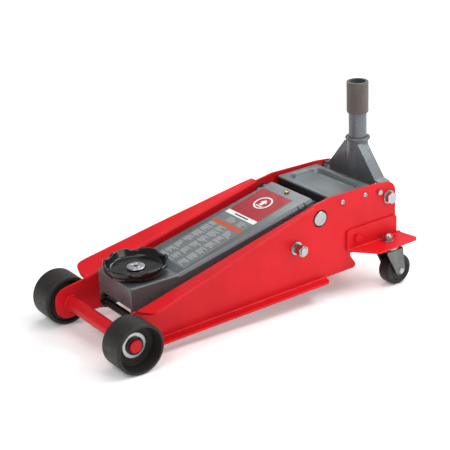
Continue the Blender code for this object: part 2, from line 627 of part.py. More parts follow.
# ---- tray -----------------------------------------------------------------------------
def build_tray():
    """Pressed parts tray between the side plates, its front plate and four screws."""
    y0, y1 = TRAY_Y
    shell = prism(box_profile(-TRAY_HALF, TRAY_HALF, y0, y1, 0.0060), 0.1500, TRAY_TOP, "Z")
    under = prism([(-TRAY_HALF + TRAY_T, y0 - 0.01), (TRAY_HALF - TRAY_T, y0 - 0.01),
                   (TRAY_HALF - TRAY_T, y1 - TRAY_T), (-TRAY_HALF + TRAY_T, y1 - TRAY_T)],
                  0.14, TRAY_TOP - TRAY_T, "Z")
    tray = cut(shell, under)
    rings = []
    for z, inset in ((TRAY_TOP - 0.0105, 0.0030), (TRAY_TOP - 0.0020, 0.0)):
        ring = box_profile(-0.0690 + inset, 0.0690 - inset, 0.4720 + inset,
                           0.5450 - inset, 0.0180 - inset, 6)
        rings.append([(x, y, z) for x, y in ring])
    tray = join(tray, mesh_from([[(x, y, z) for x, y, z in rings[0]],
                                 [(x, y, TRAY_TOP - 0.0010) for x, y, z in rings[1]]]))
    pocket = []
    for z, inset in ((TRAY_TOP - 0.0085, 0.0050), (TRAY_TOP + 0.0010, 0.0020)):
        ring = box_profile(-0.0690 + inset, 0.0690 - inset, 0.4720 + inset,
                           0.5450 - inset, 0.0180 - inset, 6)
        pocket.append([(x, y, z) for x, y in ring])
    tray = cut(tray, mesh_from(pocket))
    for sign in (1.0, -1.0):
        for y, z in ((0.4790, 0.1575), (0.5335, 0.1570)):
            tray = cut(tray, rod(y, z, 0.0029, sign * 0.07, sign * 0.09, "X", 16))
    publish("parts_tray", tray, TRAY_GREY)
    front = prism(box_profile(-0.0772, 0.0772, 0.1440, TRAY_TOP - TRAY_T - GAP, 0.0),
                  y0 + 0.0010, y0 + 0.0040, "Y")
    publish("tray_front_plate", front, BLACK_PAINT)
    for side, sign in SIDES:
        for place, (y, z) in (("front", (0.4790, 0.1575)), ("rear", (0.5335, 0.1570))):
            screw = join(rod(y, z, 0.0026, 0.0745, 0.0880, "X", 16),
                         turned([(0.0, 0.0871), (0.0050, 0.0871), (0.0050, 0.0885),
                                 (0.0035, 0.0902), (0.0, 0.0906)], (0.0, y, z), "X", 20))
            publish("tray_screw_" + place + "_" + side, mirrored(screw, sign), ZINC)


# ---- handle ---------------------------------------------------------------------------
def handle_yoke():
    """Socket tube with collar, front web and two side flanges ending in pivot ears."""
    y, z = YOKE_PIVOT
    tube = rod(0.0, y, SOCKET_R, 0.1560, COLLAR_Z, "Z", 32)
    collar = turned([(0.0, COLLAR_Z - 0.0030), (0.0215, COLLAR_Z - 0.0030),
                     (0.0238, COLLAR_Z - 0.0012), (0.0238, COLLAR_Z + 0.0012),
                     (0.0215, COLLAR_Z + 0.0028), (0.0, COLLAR_Z + 0.0028)],
                    (0.0, y, 0.0), "Z", 32)
    web = prism([(-0.0640, 0.1550), (0.0640, 0.1550), (0.0640, 0.1690), (0.0175, 0.2255),
                 (-0.0175, 0.2255), (-0.0640, 0.1690)], y - 0.0160, y - 0.0125, "Y")
    yoke = join(tube, collar, web, solver="MANIFOLD")
    for sign in (1.0, -1.0):
        leg = [(0.0150, 0.2270), (0.0190, 0.2270), (0.0668, 0.1692), (0.0823, 0.1672),
               (0.0823, 0.1450), (0.0783, 0.1450), (0.0783, 0.1634), (0.0635, 0.1655)]
        flange = prism([(sign * u, v) for u, v in leg], y - 0.0165, y + 0.0075, "Y")
        ear = prism(arc(y, z, 0.0135, 180.0, 360.0, 12) + [(y + 0.0110, 0.1590),
                                                           (y - 0.0120, 0.1590)],
                    sign * 0.0770, sign * 0.0824, "X")
        yoke = join(yoke, flange, ear, solver="MANIFOLD")
    lever = prism(rounded([(y - 0.0090, 0.1600, 0.0), (LEVER[0] - 0.0085, LEVER[1], 0.0080),
                           (LEVER[0] + 0.0060, LEVER[1] - 0.0080, 0.0080),
                           (LEVER[0] + 0.0080, LEVER[1] + 0.0060, 0.0060),
                           (y + 0.0090, 0.1600, 0.0)]), 0.0125, 0.0175, "X")
    yoke = join(yoke, lever, mirrored(lever.copy(), -1.0), solver="MANIFOLD")
    return cut(yoke, rod(0.0, y, SOCKET_BORE, 0.1640, 0.25, "Z", 32),
               rod(*YOKE_PIVOT, 0.0083, -0.09, 0.09, "X"),
               rod(*LEVER, 0.0033, -0.03, 0.03, "X", 16), solver="MANIFOLD")


def build_handle():
    """Yoke, its bolts and roller, and the lower handle section with its foam sleeve."""
    y, z = YOKE_PIVOT
    axis = (0.0, y, z)
    publish("handle_yoke", handle_yoke(), GREY, origin=axis)
    roller = join(rod(*LEVER, 0.0060, -0.0120, 0.0120, "X"),
                  rod(*LEVER, 0.0030, -0.0190, 0.0190, "X", 16))
    publish("plunger_roller", roller, STEEL, origin=axis)
    for side, sign in SIDES:
        bolt = join(rod(y, z, 0.0080, 0.0720, 0.0960, "X"),
                    rod(y, z, 0.0130, 0.0871, 0.0892, "X", 28),
                    hexagon(y, z, 0.0210, 0.0888, 0.0985, "X"))
        publish("yoke_bolt_" + side, mirrored(bolt, sign), ZINC)
    stay = rod(0.5680, 0.1540, 0.0031, -0.0930, 0.0930, "X", 16)
    for sign in (1.0, -1.0):
        stay = join(stay, hexagon(0.5680, 0.1540, 0.0095, sign * 0.0871, sign * 0.0918, "X"))
    publish("rear_stay_bolt", stay, ZINC)
    inner = HANDLE_R - 0.0020
    tube = turned([(inner, 0.1650), (HANDLE_R, 0.1650), (HANDLE_R, FOAM[1]),
                   (inner, FOAM[1])], (0.0, y, 0.0), "Z", 32)
    publish("handle_tube", tube, GREY, origin=(0.0, y, COLLAR_Z))
    foam = turned([(HANDLE_R + GAP, FOAM[0]), (FOAM_R - 0.0012, FOAM[0]),
                   (FOAM_R, FOAM[0] + 0.0014), (FOAM_R, FOAM[1]), (HANDLE_R + GAP, FOAM[1])],
                  (0.0, y, 0.0), "Z", 36)
    publish("foam_grip", foam, FOAM_BROWN, origin=(0.0, y, COLLAR_Z))


# ---- casters --------------------------------------------------------------------------
def caster_fork():
    """Raceway cup and two legs trailing behind the swivel axis."""
    x, y = CASTER_X, CASTER_Y
    top = SHELF_Z[0] - GAP
    wheel_y = y + CASTER_TRAIL
    cup = turned([(0.0053, top - 0.0095), (0.0190, top - 0.0095), (0.0205, top - 0.0060),
                  (0.0205, top - 0.0030), (0.0175, top), (0.0053, top)], (x, y, 0.0), "Z", 32)
    crown = prism(box_profile(x - 0.0195, x + 0.0195, y - 0.0175, y + 0.0210, 0.0030),
                  top - 0.0125, top - 0.0090, "Z")
    fork = join(cup, crown)
    leg = rounded([
        (y - 0.0150, top - 0.0095, 0.0),
        (wheel_y - 0.0095, CASTER_AXLE_Z - 0.0075, 0.0090),
        (wheel_y + 0.0105, CASTER_AXLE_Z - 0.0075, 0.0090),
        (y + 0.0205, top - 0.0095, 0.0),
    ])
    for sign in (1.0, -1.0):
        fork = join(fork, prism(leg, x + sign * 0.0165, x + sign * 0.0193, "X"))
    return cut(fork, rod(wheel_y, CASTER_AXLE_Z, 0.0038, x - 0.03, x + 0.03, "X", 16),
               rod(x, y, 0.0053, 0.03, 0.06, "Z"))


def build_casters():
    """Swivel casters: fork, wheel, axle rivet and the bolt through the shelf."""
    x, y = CASTER_X, CASTER_Y
    wheel_y = y + CASTER_TRAIL
    half = CASTER_W / 2.0
    for side, sign in SIDES:
        fork = mirrored(caster_fork(), sign)
        publish("caster_fork_" + side, fork, FORK_GREY, origin=(sign * x, y, SHELF_Z[0]))
        outline = [(0.0038, x - half), (0.0150, x - half), (0.0170, x - half + 0.0015),
                   (0.0270, x - half + 0.0015), (CASTER_R, x - half + 0.0050),
                   (CASTER_R, x + half - 0.0050), (0.0270, x + half - 0.0015),
                   (0.0170, x + half - 0.0015), (0.0150, x + half), (0.0038, x + half)]
        wheel = turned(outline, (0.0, wheel_y, CASTER_AXLE_Z), "X", 36)
        publish("caster_wheel_" + side, mirrored(wheel, sign), WHEEL_BLACK,
                origin=(sign * x, wheel_y, CASTER_AXLE_Z))
        axle = rod(wheel_y, CASTER_AXLE_Z, 0.0035, x - 0.0215, x + 0.0215, "X", 16)
        for end in (1.0, -1.0):
            axle = join(axle, rod(wheel_y, CASTER_AXLE_Z, 0.0058, x + end * 0.0196,
                                  x + end * 0.0214, "X", 20))
        publish("caster_axle_" + side, mirrored(axle, sign), ZINC,
                origin=(sign * x, y, SHELF_Z[0]))
        shelf = SHELF_Z[1] + GAP
        bolt = join(rod(x, y, 0.0050, SHELF_Z[0] - 0.0085, shelf + 0.0105, "Z", 20),
                    rod(x, y, 0.0115, shelf, shelf + 0.0018, "Z", 28),
                    hexagon(x, y, 0.0165, shelf + 0.0015, shelf + 0.0090, "Z"),
                    turned([(0.0, shelf + 0.0085), (0.0068, shelf + 0.0085),
                            (0.0055, shelf + 0.0125), (0.0, shelf + 0.0140)],
                           (x, y, 0.0), "Z", 20))
        publish("caster_bolt_" + side, mirrored(bolt, sign), ZINC)


def clear():
    """Start from an empty scene."""
    for item in list(bpy.data.objects):
        bpy.data.objects.remove(item)


clear()
build_chassis()
build_front_wheels()
build_linkage()
build_power_unit()
build_tray()
build_handle()
build_casters()
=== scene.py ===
"""Looks of a three-ton hydraulic trolley jack, built round its fixed solid model.

Pieces are drawn in the chassis frame: the front axle is the line y = 0, -Y points to the
saddle end and +Z is square to the parts tray.  STANCE leans that frame nose down onto the
floor.  Every length is in metres.
"""

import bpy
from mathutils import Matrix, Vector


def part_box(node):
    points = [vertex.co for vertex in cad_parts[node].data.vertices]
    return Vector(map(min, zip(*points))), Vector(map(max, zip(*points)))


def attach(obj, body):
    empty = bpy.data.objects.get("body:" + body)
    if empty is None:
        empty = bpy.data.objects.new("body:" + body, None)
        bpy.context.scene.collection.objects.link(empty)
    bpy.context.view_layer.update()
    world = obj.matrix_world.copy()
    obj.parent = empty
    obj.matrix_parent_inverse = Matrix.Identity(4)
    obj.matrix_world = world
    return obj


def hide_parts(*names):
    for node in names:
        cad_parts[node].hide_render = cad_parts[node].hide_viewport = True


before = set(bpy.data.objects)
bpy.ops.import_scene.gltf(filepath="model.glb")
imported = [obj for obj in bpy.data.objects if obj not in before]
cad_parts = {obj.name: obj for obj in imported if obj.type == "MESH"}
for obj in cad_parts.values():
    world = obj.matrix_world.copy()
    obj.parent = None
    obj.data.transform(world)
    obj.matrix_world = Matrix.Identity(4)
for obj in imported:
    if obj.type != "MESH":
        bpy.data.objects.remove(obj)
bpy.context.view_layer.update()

import logging
import math
from abc import ABC, abstractmethod
from dataclasses import dataclass
from enum import Enum
from typing import Callable, Iterable, Sequence

import bmesh
import bpy
from mathutils import Matrix, Vector

LOG = logging.getLogger("trolley_jack")

Flat = tuple[float, float]
Corner = tuple[float, float, float]
Colour = tuple[float, float, float]
Mesh = bpy.types.Mesh
Socket = bpy.types.NodeSocket

PITCH = math.radians(3.0)
WHEEL_R = 0.045
GAP = 0.0003


class Side(Enum):
    """The two sides of the jack, by the sign of x."""

    LEFT = 1.0
    RIGHT = -1.0

    @property
    def tag(self) -> str:
        """Lower-case word used at the end of names."""
        return self.name.lower()


class Axis(Enum):
    """Axis that a profile is pulled or turned along."""

    X = "X"
    Y = "Y"
    Z = "Z"

    def point(self, u: float, v: float, w: float) -> Vector:
        """Point with (u, v) across the axis and w along it.

        Args:
            u: first distance across the axis.
            v: second distance across the axis.
            w: distance along the axis.

        Returns:
            The point.
        """
        if self is Axis.X:
            return Vector((w, u, v))
        if self is Axis.Y:
            return Vector((u, w, v))
        return Vector((u, v, w))


def stance() -> Matrix:
    """Matrix from the chassis frame to the floor frame, read off the front wheel.

    Returns:
        The lean about the front axle and the shift along Y.
    """
    low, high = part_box("front_wheel_left")
    axle = Matrix.Translation((0.0, 0.0, WHEEL_R))
    lean = axle @ Matrix.Rotation(PITCH, 4, "X") @ axle.inverted()
    return Matrix.Translation((0.0, (low.y + high.y) / 2.0, 0.0)) @ lean


STANCE = stance()


# ---- outlines -------------------------------------------------------------------------
def arc(centre: Flat, radius: float, start: float, end: float, steps: int) -> list[Flat]:
    """Points along an arc.

    Args:
        centre: middle of the arc.
        radius: its radius.
        start: first angle in degrees.
        end: last angle in degrees.
        steps: number of chords.

    Returns:
        steps + 1 points, both ends included.
    """
    points = []
    for i in range(steps + 1):
        a = math.radians(start + (end - start) * i / steps)
        points.append((centre[0] + radius * math.cos(a), centre[1] + radius * math.sin(a)))
    return points


def rounded(corners: Sequence[Corner], steps: int = 8) -> list[Flat]:
    """Polygon whose corners are turned into arcs.

    Args:
        corners: (u, v, radius) of each corner, in order.
        steps: chords in each arc.

    Returns:
        The outline's points.
    """
    points = []
    count = len(corners)
    for i, (u, v, radius) in enumerate(corners):
        if radius <= 0.0:
            points.append((u, v))
            continue
        here = Vector((u, v))
        before = (Vector(corners[i - 1][:2]) - here).normalized()
        after = (Vector(corners[(i + 1) % count][:2]) - here).normalized()
        half = before.angle(after) / 2.0
        middle = here + (before + after).normalized() * (radius / math.sin(half))
        first = here + before * (radius / math.tan(half)) - middle
        last = here + after * (radius / math.tan(half)) - middle
        start = math.degrees(math.atan2(first.y, first.x))
        sweep = math.degrees(math.atan2(last.y, last.x)) - start
        sweep = (sweep + 180.0) % 360.0 - 180.0
        points += arc(tuple(middle), radius, start, start + sweep, steps)
    return points


def block_outline(u0: float, u1: float, v0: float, v1: float, radius: float = 0.0,
                  steps: int = 8) -> list[Flat]:
    """Rectangle with equal round corners."""
    return rounded([(u0, v0, radius), (u1, v0, radius), (u1, v1, radius), (u0, v1, radius)],
                   steps)


# ---- meshes ---------------------------------------------------------------------------
def skin(rings: Sequence[Sequence[Vector]], loop: bool = False, capped: bool = True) -> Mesh:
    """Mesh over a run of equal rings of points.

    Args:
        rings: rings with the same number of points.
        loop: join the last ring to the first.
        capped: close the two ends with a face each.

    Returns:
        A new mesh with its faces outwards.
    """
    bm = bmesh.new()
    rows = [[bm.verts.new(point) for point in ring] for ring in rings]
    count = len(rows[0])
    for i in range(len(rows) if loop else len(rows) - 1):
        here, there = rows[i], rows[(i + 1) % len(rows)]
        for k in range(count):
            n = (k + 1) % count
            bm.faces.new((here[k], here[n], there[n], there[k]))
    if capped and not loop:
        bm.faces.new(rows[0])
        bm.faces.new(list(reversed(rows[-1])))
    bmesh.ops.remove_doubles(bm, verts=bm.verts, dist=1e-6)
    loose = [edge for edge in bm.edges if edge.is_wire]
    bmesh.ops.delete(bm, geom=loose, context="EDGES")
    bmesh.ops.recalc_face_normals(bm, faces=bm.faces)
    mesh = bpy.data.meshes.new("piece")
    bm.to_mesh(mesh)
    bm.free()
    return mesh


def prism(outline: Sequence[Flat], lo: float, hi: float, axis: Axis) -> Mesh:
    """Outline pulled along an axis from lo to hi."""
    return skin([[axis.point(u, v, w) for u, v in outline] for w in (lo, hi)])


def rod(centre: Flat, radius: float, lo: float, hi: float, axis: Axis,
        steps: int = 48) -> Mesh:
    """Round bar along an axis."""
    return prism(arc(centre, radius, 0.0, 360.0 - 360.0 / steps, steps - 1), lo, hi, axis)


def turned(outline: Sequence[Flat], centre: Sequence[float], axis: Axis,
           steps: int = 72) -> Mesh:
    """Outline turned about an axis.

    Args:
        outline: closed run of (radius, distance along the axis).
        centre: point that the axis passes through.
        axis: direction of the axis.
        steps: number of facets round it.

    Returns:
        The turned mesh.
    """
    rings = []
    for i in range(steps):
        a = 2.0 * math.pi * i / steps
        rings.append([axis.point(r * math.cos(a), r * math.sin(a), w) + Vector(centre)
                      for r, w in outline])
    return skin(rings, loop=True)


def reshape(mesh: Mesh, rule: Callable[[float, float, float], Corner]) -> Mesh:
    """Move each point of a mesh by a rule that takes and gives (x, y, z).

    Args:
        mesh: mesh to work on.
        rule: gives the new (x, y, z) of a point.

    Returns:
        The same mesh.
    """
    for vertex in mesh.vertices:
        vertex.co = rule(*vertex.co)
    return mesh


def mirrored(mesh: Mesh, side: Side) -> Mesh:
    """A copy of a left-hand mesh for the given side.

    Args:
        mesh: mesh to work on.
        side: side of the jack.

    Returns:
        A new mesh.
    """
    copy = mesh.copy()
    if side is Side.LEFT:
        return copy
    bm = bmesh.new()
    bm.from_mesh(copy)
    bmesh.ops.scale(bm, vec=(-1.0, 1.0, 1.0), verts=bm.verts)
    bmesh.ops.reverse_faces(bm, faces=bm.faces)
    bm.to_mesh(copy)
    bm.free()
    return copy


def evaluated(holder: bpy.types.Object) -> Mesh:
    """Plain mesh of an object as its modifiers leave it; the object is removed.

    Args:
        holder: object to evaluate.

    Returns:
        A new mesh.
    """
    bpy.context.view_layer.update()
    graph = bpy.context.evaluated_depsgraph_get()
    mesh = bpy.data.meshes.new_from_object(holder.evaluated_get(graph),
                                           preserve_all_data_layers=True, depsgraph=graph)
    bpy.data.objects.remove(holder)
    return mesh


def held(mesh: Mesh) -> bpy.types.Object:
    """Passing object that carries a mesh while modifiers work on it.

    Args:
        mesh: mesh to work on.

    Returns:
        The object, linked to the scene.
    """
    holder = bpy.data.objects.new("holder", mesh)
    bpy.context.scene.collection.objects.link(holder)
    return holder


def carve(base: Mesh, tools: Iterable[Mesh], operation: str, solver: str = "EXACT") -> Mesh:
    """Boolean of a mesh with several others, one after another.

    Args:
        base: mesh to start from.
        tools: meshes to work with.
        operation: UNION, DIFFERENCE or INTERSECT.
        solver: the Boolean modifier's solver.

    Returns:
        A new mesh with its flat faces merged.
    """
    result = base
    for tool_mesh in tools:
        holder, tool = held(result), held(tool_mesh)
        step = holder.modifiers.new("step", "BOOLEAN")
        step.operation = operation
        step.solver = solver
        step.object = tool
        result = evaluated(holder)
        bpy.data.objects.remove(tool)
    bm = bmesh.new()
    bm.from_mesh(result)
    bmesh.ops.remove_doubles(bm, verts=bm.verts, dist=2e-6)
    bmesh.ops.dissolve_limit(bm, angle_limit=math.radians(0.4), verts=bm.verts,
                             edges=bm.edges)
    bm.to_mesh(result)
    bm.free()
    return result


def join(base: Mesh, *others: Mesh, solver: str = "EXACT") -> Mesh:
    """One body out of several overlapping ones."""
    return carve(base, others, "UNION", solver)


def cut(base: Mesh, *others: Mesh, solver: str = "EXACT") -> Mesh:
    """Base with the others taken away."""
    return carve(base, others, "DIFFERENCE", solver)


def merged(*meshes: Mesh) -> Mesh:
    """Several separate bodies in one mesh.

    Args:
        meshes: the bodies.

    Returns:
        A new mesh.
    """
    bm = bmesh.new()
    for mesh in meshes:
        bm.from_mesh(mesh)
    result = bpy.data.meshes.new("piece")
    bm.to_mesh(result)
    bm.free()
    return result


# ---- finishes -------------------------------------------------------------------------
class Graph:
    """Short hand for the nodes of one material on Object coordinates."""

    def __init__(self, name: str) -> None:
        """Start a material with its Principled shader.

        Args:
            name: name to give it.
        """
        self.material = bpy.data.materials.new(name)
        self.material.use_nodes = True
        tree = self.material.node_tree
        self.nodes, self.links = tree.nodes, tree.links
        self.shader = self.nodes["Principled BSDF"]
        self.place = self.nodes.new("ShaderNodeTexCoord").outputs["Object"]

    def settle(self, **values: float | Colour) -> None:
        """Set uniform values on the shader's own sockets; words joined by _ name the socket.

        Args:
            values: socket name, with _ for a space, and its value.
        """
        for key, value in values.items():
            socket = self.shader.inputs[key.replace("_", " ")]
            socket.default_value = (*value, 1.0) if isinstance(value, tuple) else value

    def mapped(self, stretch: Corner) -> Socket:
        """Object coordinates multiplied along each axis.

        Args:
            stretch: scale along each axis.

        Returns:
            Socket of the vector.
        """
        node = self.nodes.new("ShaderNodeMapping")
        node.inputs["Scale"].default_value = stretch
        self.links.new(self.place, node.inputs["Vector"])
        return node.outputs["Vector"]

    def noise(self, scale: float, detail: float = 3.0, stretch: Corner = (1.0, 1.0, 1.0),
              roughness: float = 0.55) -> Socket:
        """Cloudy value round 0.5; scale is in lumps per metre.

        Args:
            scale: lumps per metre.
            detail: octaves of finer noise.
            stretch: scale along each axis.
            roughness: weight of the finer octaves.

        Returns:
            Socket of the value.
        """
        node = self.nodes.new("ShaderNodeTexNoise")
        node.inputs["Scale"].default_value = scale
        node.inputs["Detail"].default_value = detail
        node.inputs["Roughness"].default_value = roughness
        self.links.new(self.mapped(stretch), node.inputs["Vector"])
        return node.outputs["Fac"]

    def cells(self, scale: float) -> Socket:
        """Distance to the nearest of scattered points, for pores and flakes.

        Args:
            scale: lumps per metre.

        Returns:
            Socket of the distance.
        """
        node = self.nodes.new("ShaderNodeTexVoronoi")
        node.inputs["Scale"].default_value = scale
        self.links.new(self.place, node.inputs["Vector"])
        return node.outputs["Distance"]

    def edges(self, reach: float) -> Socket:
        """1 deep in open faces and less within reach of an outer edge.

        Args:
            reach: distance in metres.

        Returns:
            Socket of the value.
        """
        node = self.nodes.new("ShaderNodeAmbientOcclusion")
        node.inside = True
        node.only_local = True
        node.samples = 6
        node.inputs["Distance"].default_value = reach
        return node.outputs["AO"]

    def fit(self, value: Socket, low: float, high: float, start: float = 0.0,
            end: float = 1.0) -> Socket:
        """Value mapped from low..high to start..end, held at both ends.

        Args:
            value: socket to map.
            low: input that gives start.
            high: input that gives end.
            start: output at low.
            end: output at high.

        Returns:
            Socket of the result.
        """
        node = self.nodes.new("ShaderNodeMapRange")
        for name, number in (("From Min", low), ("From Max", high), ("To Min", start),
                             ("To Max", end)):
            node.inputs[name].default_value = number
        self.links.new(value, node.inputs["Value"])
        return node.outputs["Result"]

    def combine(self, operation: str, first: Socket, second: Socket) -> Socket:
        """Math node over two values.

        Args:
            operation: what the node works out.
            first: first input.
            second: second input.

        Returns:
            Socket of the result.
        """
        node = self.nodes.new("ShaderNodeMath")
        node.operation = operation
        self.links.new(first, node.inputs[0])
        self.links.new(second, node.inputs[1])
        return node.outputs[0]

    def blend(self, factor: Socket, first: Colour | Socket, second: Colour | Socket) -> Socket:
        """Colour between two, each a colour or another blend.

        Args:
            factor: share of the second colour.
            first: first input.
            second: second input.

        Returns:
            Socket of the colour.
        """
        node = self.nodes.new("ShaderNodeMix")
        node.data_type = "RGBA"
        self.links.new(factor, node.inputs["Factor"])
        for socket, colour in ((node.inputs[6], first), (node.inputs[7], second)):
            if isinstance(colour, tuple):
                socket.default_value = (*colour, 1.0)
            else:
                self.links.new(colour, socket)
        return node.outputs[2]

    def drive(self, name: str, socket: Socket) -> None:
        """Feed a varying value or colour to the shader."""
        self.links.new(socket, self.shader.inputs[name])

    def relief(self, *layers: tuple[Socket, float, float]) -> None:
        """Chain of bumps, each (height, strength, depth).

        Args:
            layers: height socket, strength and depth of each layer.
        """
        previous = None
        for height, strength, depth in layers:
            node = self.nodes.new("ShaderNodeBump")
            node.inputs["Strength"].default_value = strength
            node.inputs["Distance"].default_value = depth
            self.links.new(height, node.inputs["Height"])
            if previous:
                self.links.new(previous, node.inputs["Normal"])
            previous = node.outputs["Normal"]
        self.links.new(previous, self.shader.inputs["Normal"])


@dataclass(frozen=True)
class Finish(ABC):
    """A surface treatment; each kind builds its own nodes once."""

    name: str
    colour: Colour
    shade: Colour
    roughness: float

    def material(self) -> bpy.types.Material:
        """The finish's material, made on first use.

        Returns:
            The material.
        """
        found = bpy.data.materials.get(self.name)
        if found:
            return found
        graph = Graph(self.name)
        self.paint(graph)
        graph.material.diffuse_color = (*self.colour, 1.0)
        return graph.material

    @abstractmethod
    def paint(self, graph: Graph) -> None:
        """Lay the finish's nodes."""


@dataclass(frozen=True)
class Enamel(Finish):
    """Sprayed paint: orange peel, drifting tone, dusty haze, thin scuffs, and lighter edges that
    are partly worn paint and partly painted highlight.
    """

    metal: float = 0.0
    coat: float = 0.03
    gloss: float = 0.16
    peel: float = 0.10
    # edge: lighter colour for the scuffs and for the outer edges, where it is partly worn paint
    # and partly painted highlight.
    edge: Colour = (0.80, 0.16, 0.14)
    edge_wear_and_highlight_share: float = 0.35

    def paint(self, graph: Graph) -> None:
        """Lay the paint's nodes.

        Args:
            graph: graph of the material.
        """
        drift = graph.fit(graph.noise(14.0, 4.0), 0.34, 0.68)
        tone = graph.blend(drift, self.colour, self.shade)
        scuffs = graph.fit(graph.noise(90.0, 5.0, (1.0, 0.16, 1.0), 0.7), 0.66, 0.76, 0.0, 0.22)
        tone = graph.blend(scuffs, tone, self.edge)
        # Outer edges blend towards the lighter edge colour: partly worn paint, partly a painted
        # highlight along folds and flange edges.
        rim = graph.fit(graph.edges(0.0008), 0.45, 0.95, self.edge_wear_and_highlight_share, 0.0)
        rim = graph.combine("MULTIPLY", rim, graph.fit(graph.noise(160.0, 3.0), 0.3, 0.6))
        graph.drive("Base Color", graph.blend(rim, tone, self.edge))
        haze = graph.fit(graph.noise(32.0, 5.0, (1.0, 0.7, 1.0), 0.65), 0.3, 0.72,
                         self.roughness * 0.82, self.roughness * 1.30)
        graph.drive("Roughness", haze)
        graph.settle(Metallic=self.metal, Coat_Weight=self.coat, Coat_Roughness=0.16,
                     Specular_IOR_Level=self.gloss)
        graph.relief((graph.noise(620.0, 2.0), self.peel, 0.0004),
                     (graph.noise(70.0, 2.0), 0.05, 0.0010),
                     (scuffs, 0.10, 0.0002))


@dataclass(frozen=True)
class Plated(Finish):
    """Bare or plated metal: fine turning lines, cloudy passivation and handling marks."""

    stretch: Corner = (1.0, 1.0, 1.0)
    lines: float = 0.04

    def paint(self, graph: Graph) -> None:
        """Lay the metal's nodes.

        Args:
            graph: graph of the material.
        """
        cloud = graph.fit(graph.noise(45.0, 3.0), 0.32, 0.7)
        graph.drive("Base Color", graph.blend(cloud, self.colour, self.shade))
        fine = graph.noise(900.0, 3.0, self.stretch, 0.6)
        graph.drive("Roughness", graph.fit(graph.noise(260.0, 4.0, self.stretch), 0.3, 0.7,
                                           self.roughness * 0.8, self.roughness * 1.25))
        graph.settle(Metallic=1.0)
        graph.relief((fine, self.lines, 0.0002), (graph.noise(150.0, 2.0), 0.05, 0.0004))


@dataclass(frozen=True)
class Grained(Finish):
    """Cast or moulded black surface: pebbled grain, dust in the hollows, rubbed patches."""

    grain: float = 0.35
    grain_scale: float = 700.0
    coat: float = 0.0

    def paint(self, graph: Graph) -> None:
        """Lay the grain's nodes.

        Args:
            graph: graph of the material.
        """
        rub = graph.fit(graph.noise(38.0, 5.0, (1.0, 1.0, 1.0), 0.62), 0.42, 0.72)
        tone = graph.blend(rub, self.colour, self.shade)
        speck = graph.fit(graph.cells(self.grain_scale * 0.6), 0.05, 0.45, 0.55, 0.0)
        tone = graph.blend(speck, tone, self.shade)
        # Outer edges blend towards a much lighter tone: partly rubbed wear, partly a painted
        # highlight.
        rim = graph.fit(graph.edges(0.0008), 0.45, 0.95, 0.65, 0.0)
        graph.drive("Base Color", graph.blend(rim, tone, tuple(3.2 * c for c in self.shade)))
        graph.drive("Roughness", graph.fit(graph.noise(90.0, 4.0), 0.3, 0.7,
                                           self.roughness * 0.8, self.roughness * 1.25))
        graph.settle(Coat_Weight=self.coat, Coat_Roughness=0.10, Specular_IOR_Level=0.28)
        graph.relief((graph.noise(self.grain_scale, 3.0), self.grain, 0.0004),
                     (graph.noise(60.0, 3.0), 0.08, 0.0010))


@dataclass(frozen=True)
class Foam(Finish):
    """Closed-cell foam sleeve: fine pores with painted shade in them, soft fuzz and slight
    compression marks.
    """

    def paint(self, graph: Graph) -> None:
        """Lay the foam's nodes.

        Args:
            graph: graph of the material.
        """
        pores = graph.cells(1500.0)
        tone = graph.blend(graph.fit(graph.noise(48.0, 5.0, (1.0, 1.0, 0.5)), 0.3, 0.7),
                           self.colour, self.shade)
        # Painted shade: the colour darkens towards the middle of each pore.
        pore_shade = graph.fit(pores, 0.02, 0.30, 0.6, 0.0)
        graph.drive("Base Color", graph.blend(pore_shade, tone, tuple(0.55 * c for c in self.shade)))
        graph.drive("Roughness", graph.fit(graph.noise(200.0, 3.0), 0.3, 0.7,
                                           self.roughness * 0.92, min(1.0, self.roughness * 1.1)))
        graph.settle(Sheen_Weight=0.35, Sheen_Roughness=0.5)
        graph.relief((pores, 0.55, 0.0004), (graph.noise(140.0, 3.0), 0.25, 0.0010))


@dataclass(frozen=True)
class Ink(Finish):
    """Printed vinyl: even colour with faint mottling, tiny dust specks and a satin face."""

    def paint(self, graph: Graph) -> None:
        """Lay the print's nodes.

        Args:
            graph: graph of the material.
        """
        mottle = graph.fit(graph.noise(110.0, 4.0), 0.3, 0.7)
        tone = graph.blend(mottle, self.colour, self.shade)
        rubbed = graph.fit(graph.noise(400.0, 4.0, (1.0, 0.3, 1.0), 0.7), 0.68, 0.78, 0.0, 0.35)
        graph.drive("Base Color", graph.blend(rubbed, tone, tuple(0.6 * c + 0.12
                                                                  for c in self.shade)))
        graph.drive("Roughness", graph.fit(graph.noise(60.0, 3.0), 0.3, 0.7,
                                           self.roughness * 0.8, self.roughness * 1.3))
        graph.settle(Coat_Weight=0.05, Coat_Roughness=0.2, Specular_IOR_Level=0.2)
        graph.relief((graph.noise(500.0, 2.0), 0.06, 0.0002))


RED = Enamel("red_enamel", (0.690, 0.010, 0.018), (0.590, 0.008, 0.014), 0.34)
GREY = Enamel("grey_metallic_paint", (0.150, 0.163, 0.172), (0.122, 0.133, 0.141), 0.29,
              metal=0.42, coat=0.15, peel=0.08, edge=(0.42, 0.44, 0.45), edge_wear_and_highlight_share=0.6)
TRAY_GREY = Enamel("tray_metallic_paint", (0.200, 0.226, 0.230), (0.165, 0.187, 0.191), 0.34,
                   metal=0.55, coat=0.20, peel=0.08, edge=(0.55, 0.57, 0.57), edge_wear_and_highlight_share=0.5)
BLACK_PAINT = Enamel("black_paint", (0.014, 0.013, 0.015), (0.022, 0.021, 0.022), 0.42,
                     coat=0.2, edge=(0.10, 0.10, 0.10))
BLACK_GLOSS = Grained("black_saddle_casting", (0.006, 0.005, 0.005), (0.010, 0.009, 0.008),
                      0.20, grain=0.08, grain_scale=320.0, coat=0.35)
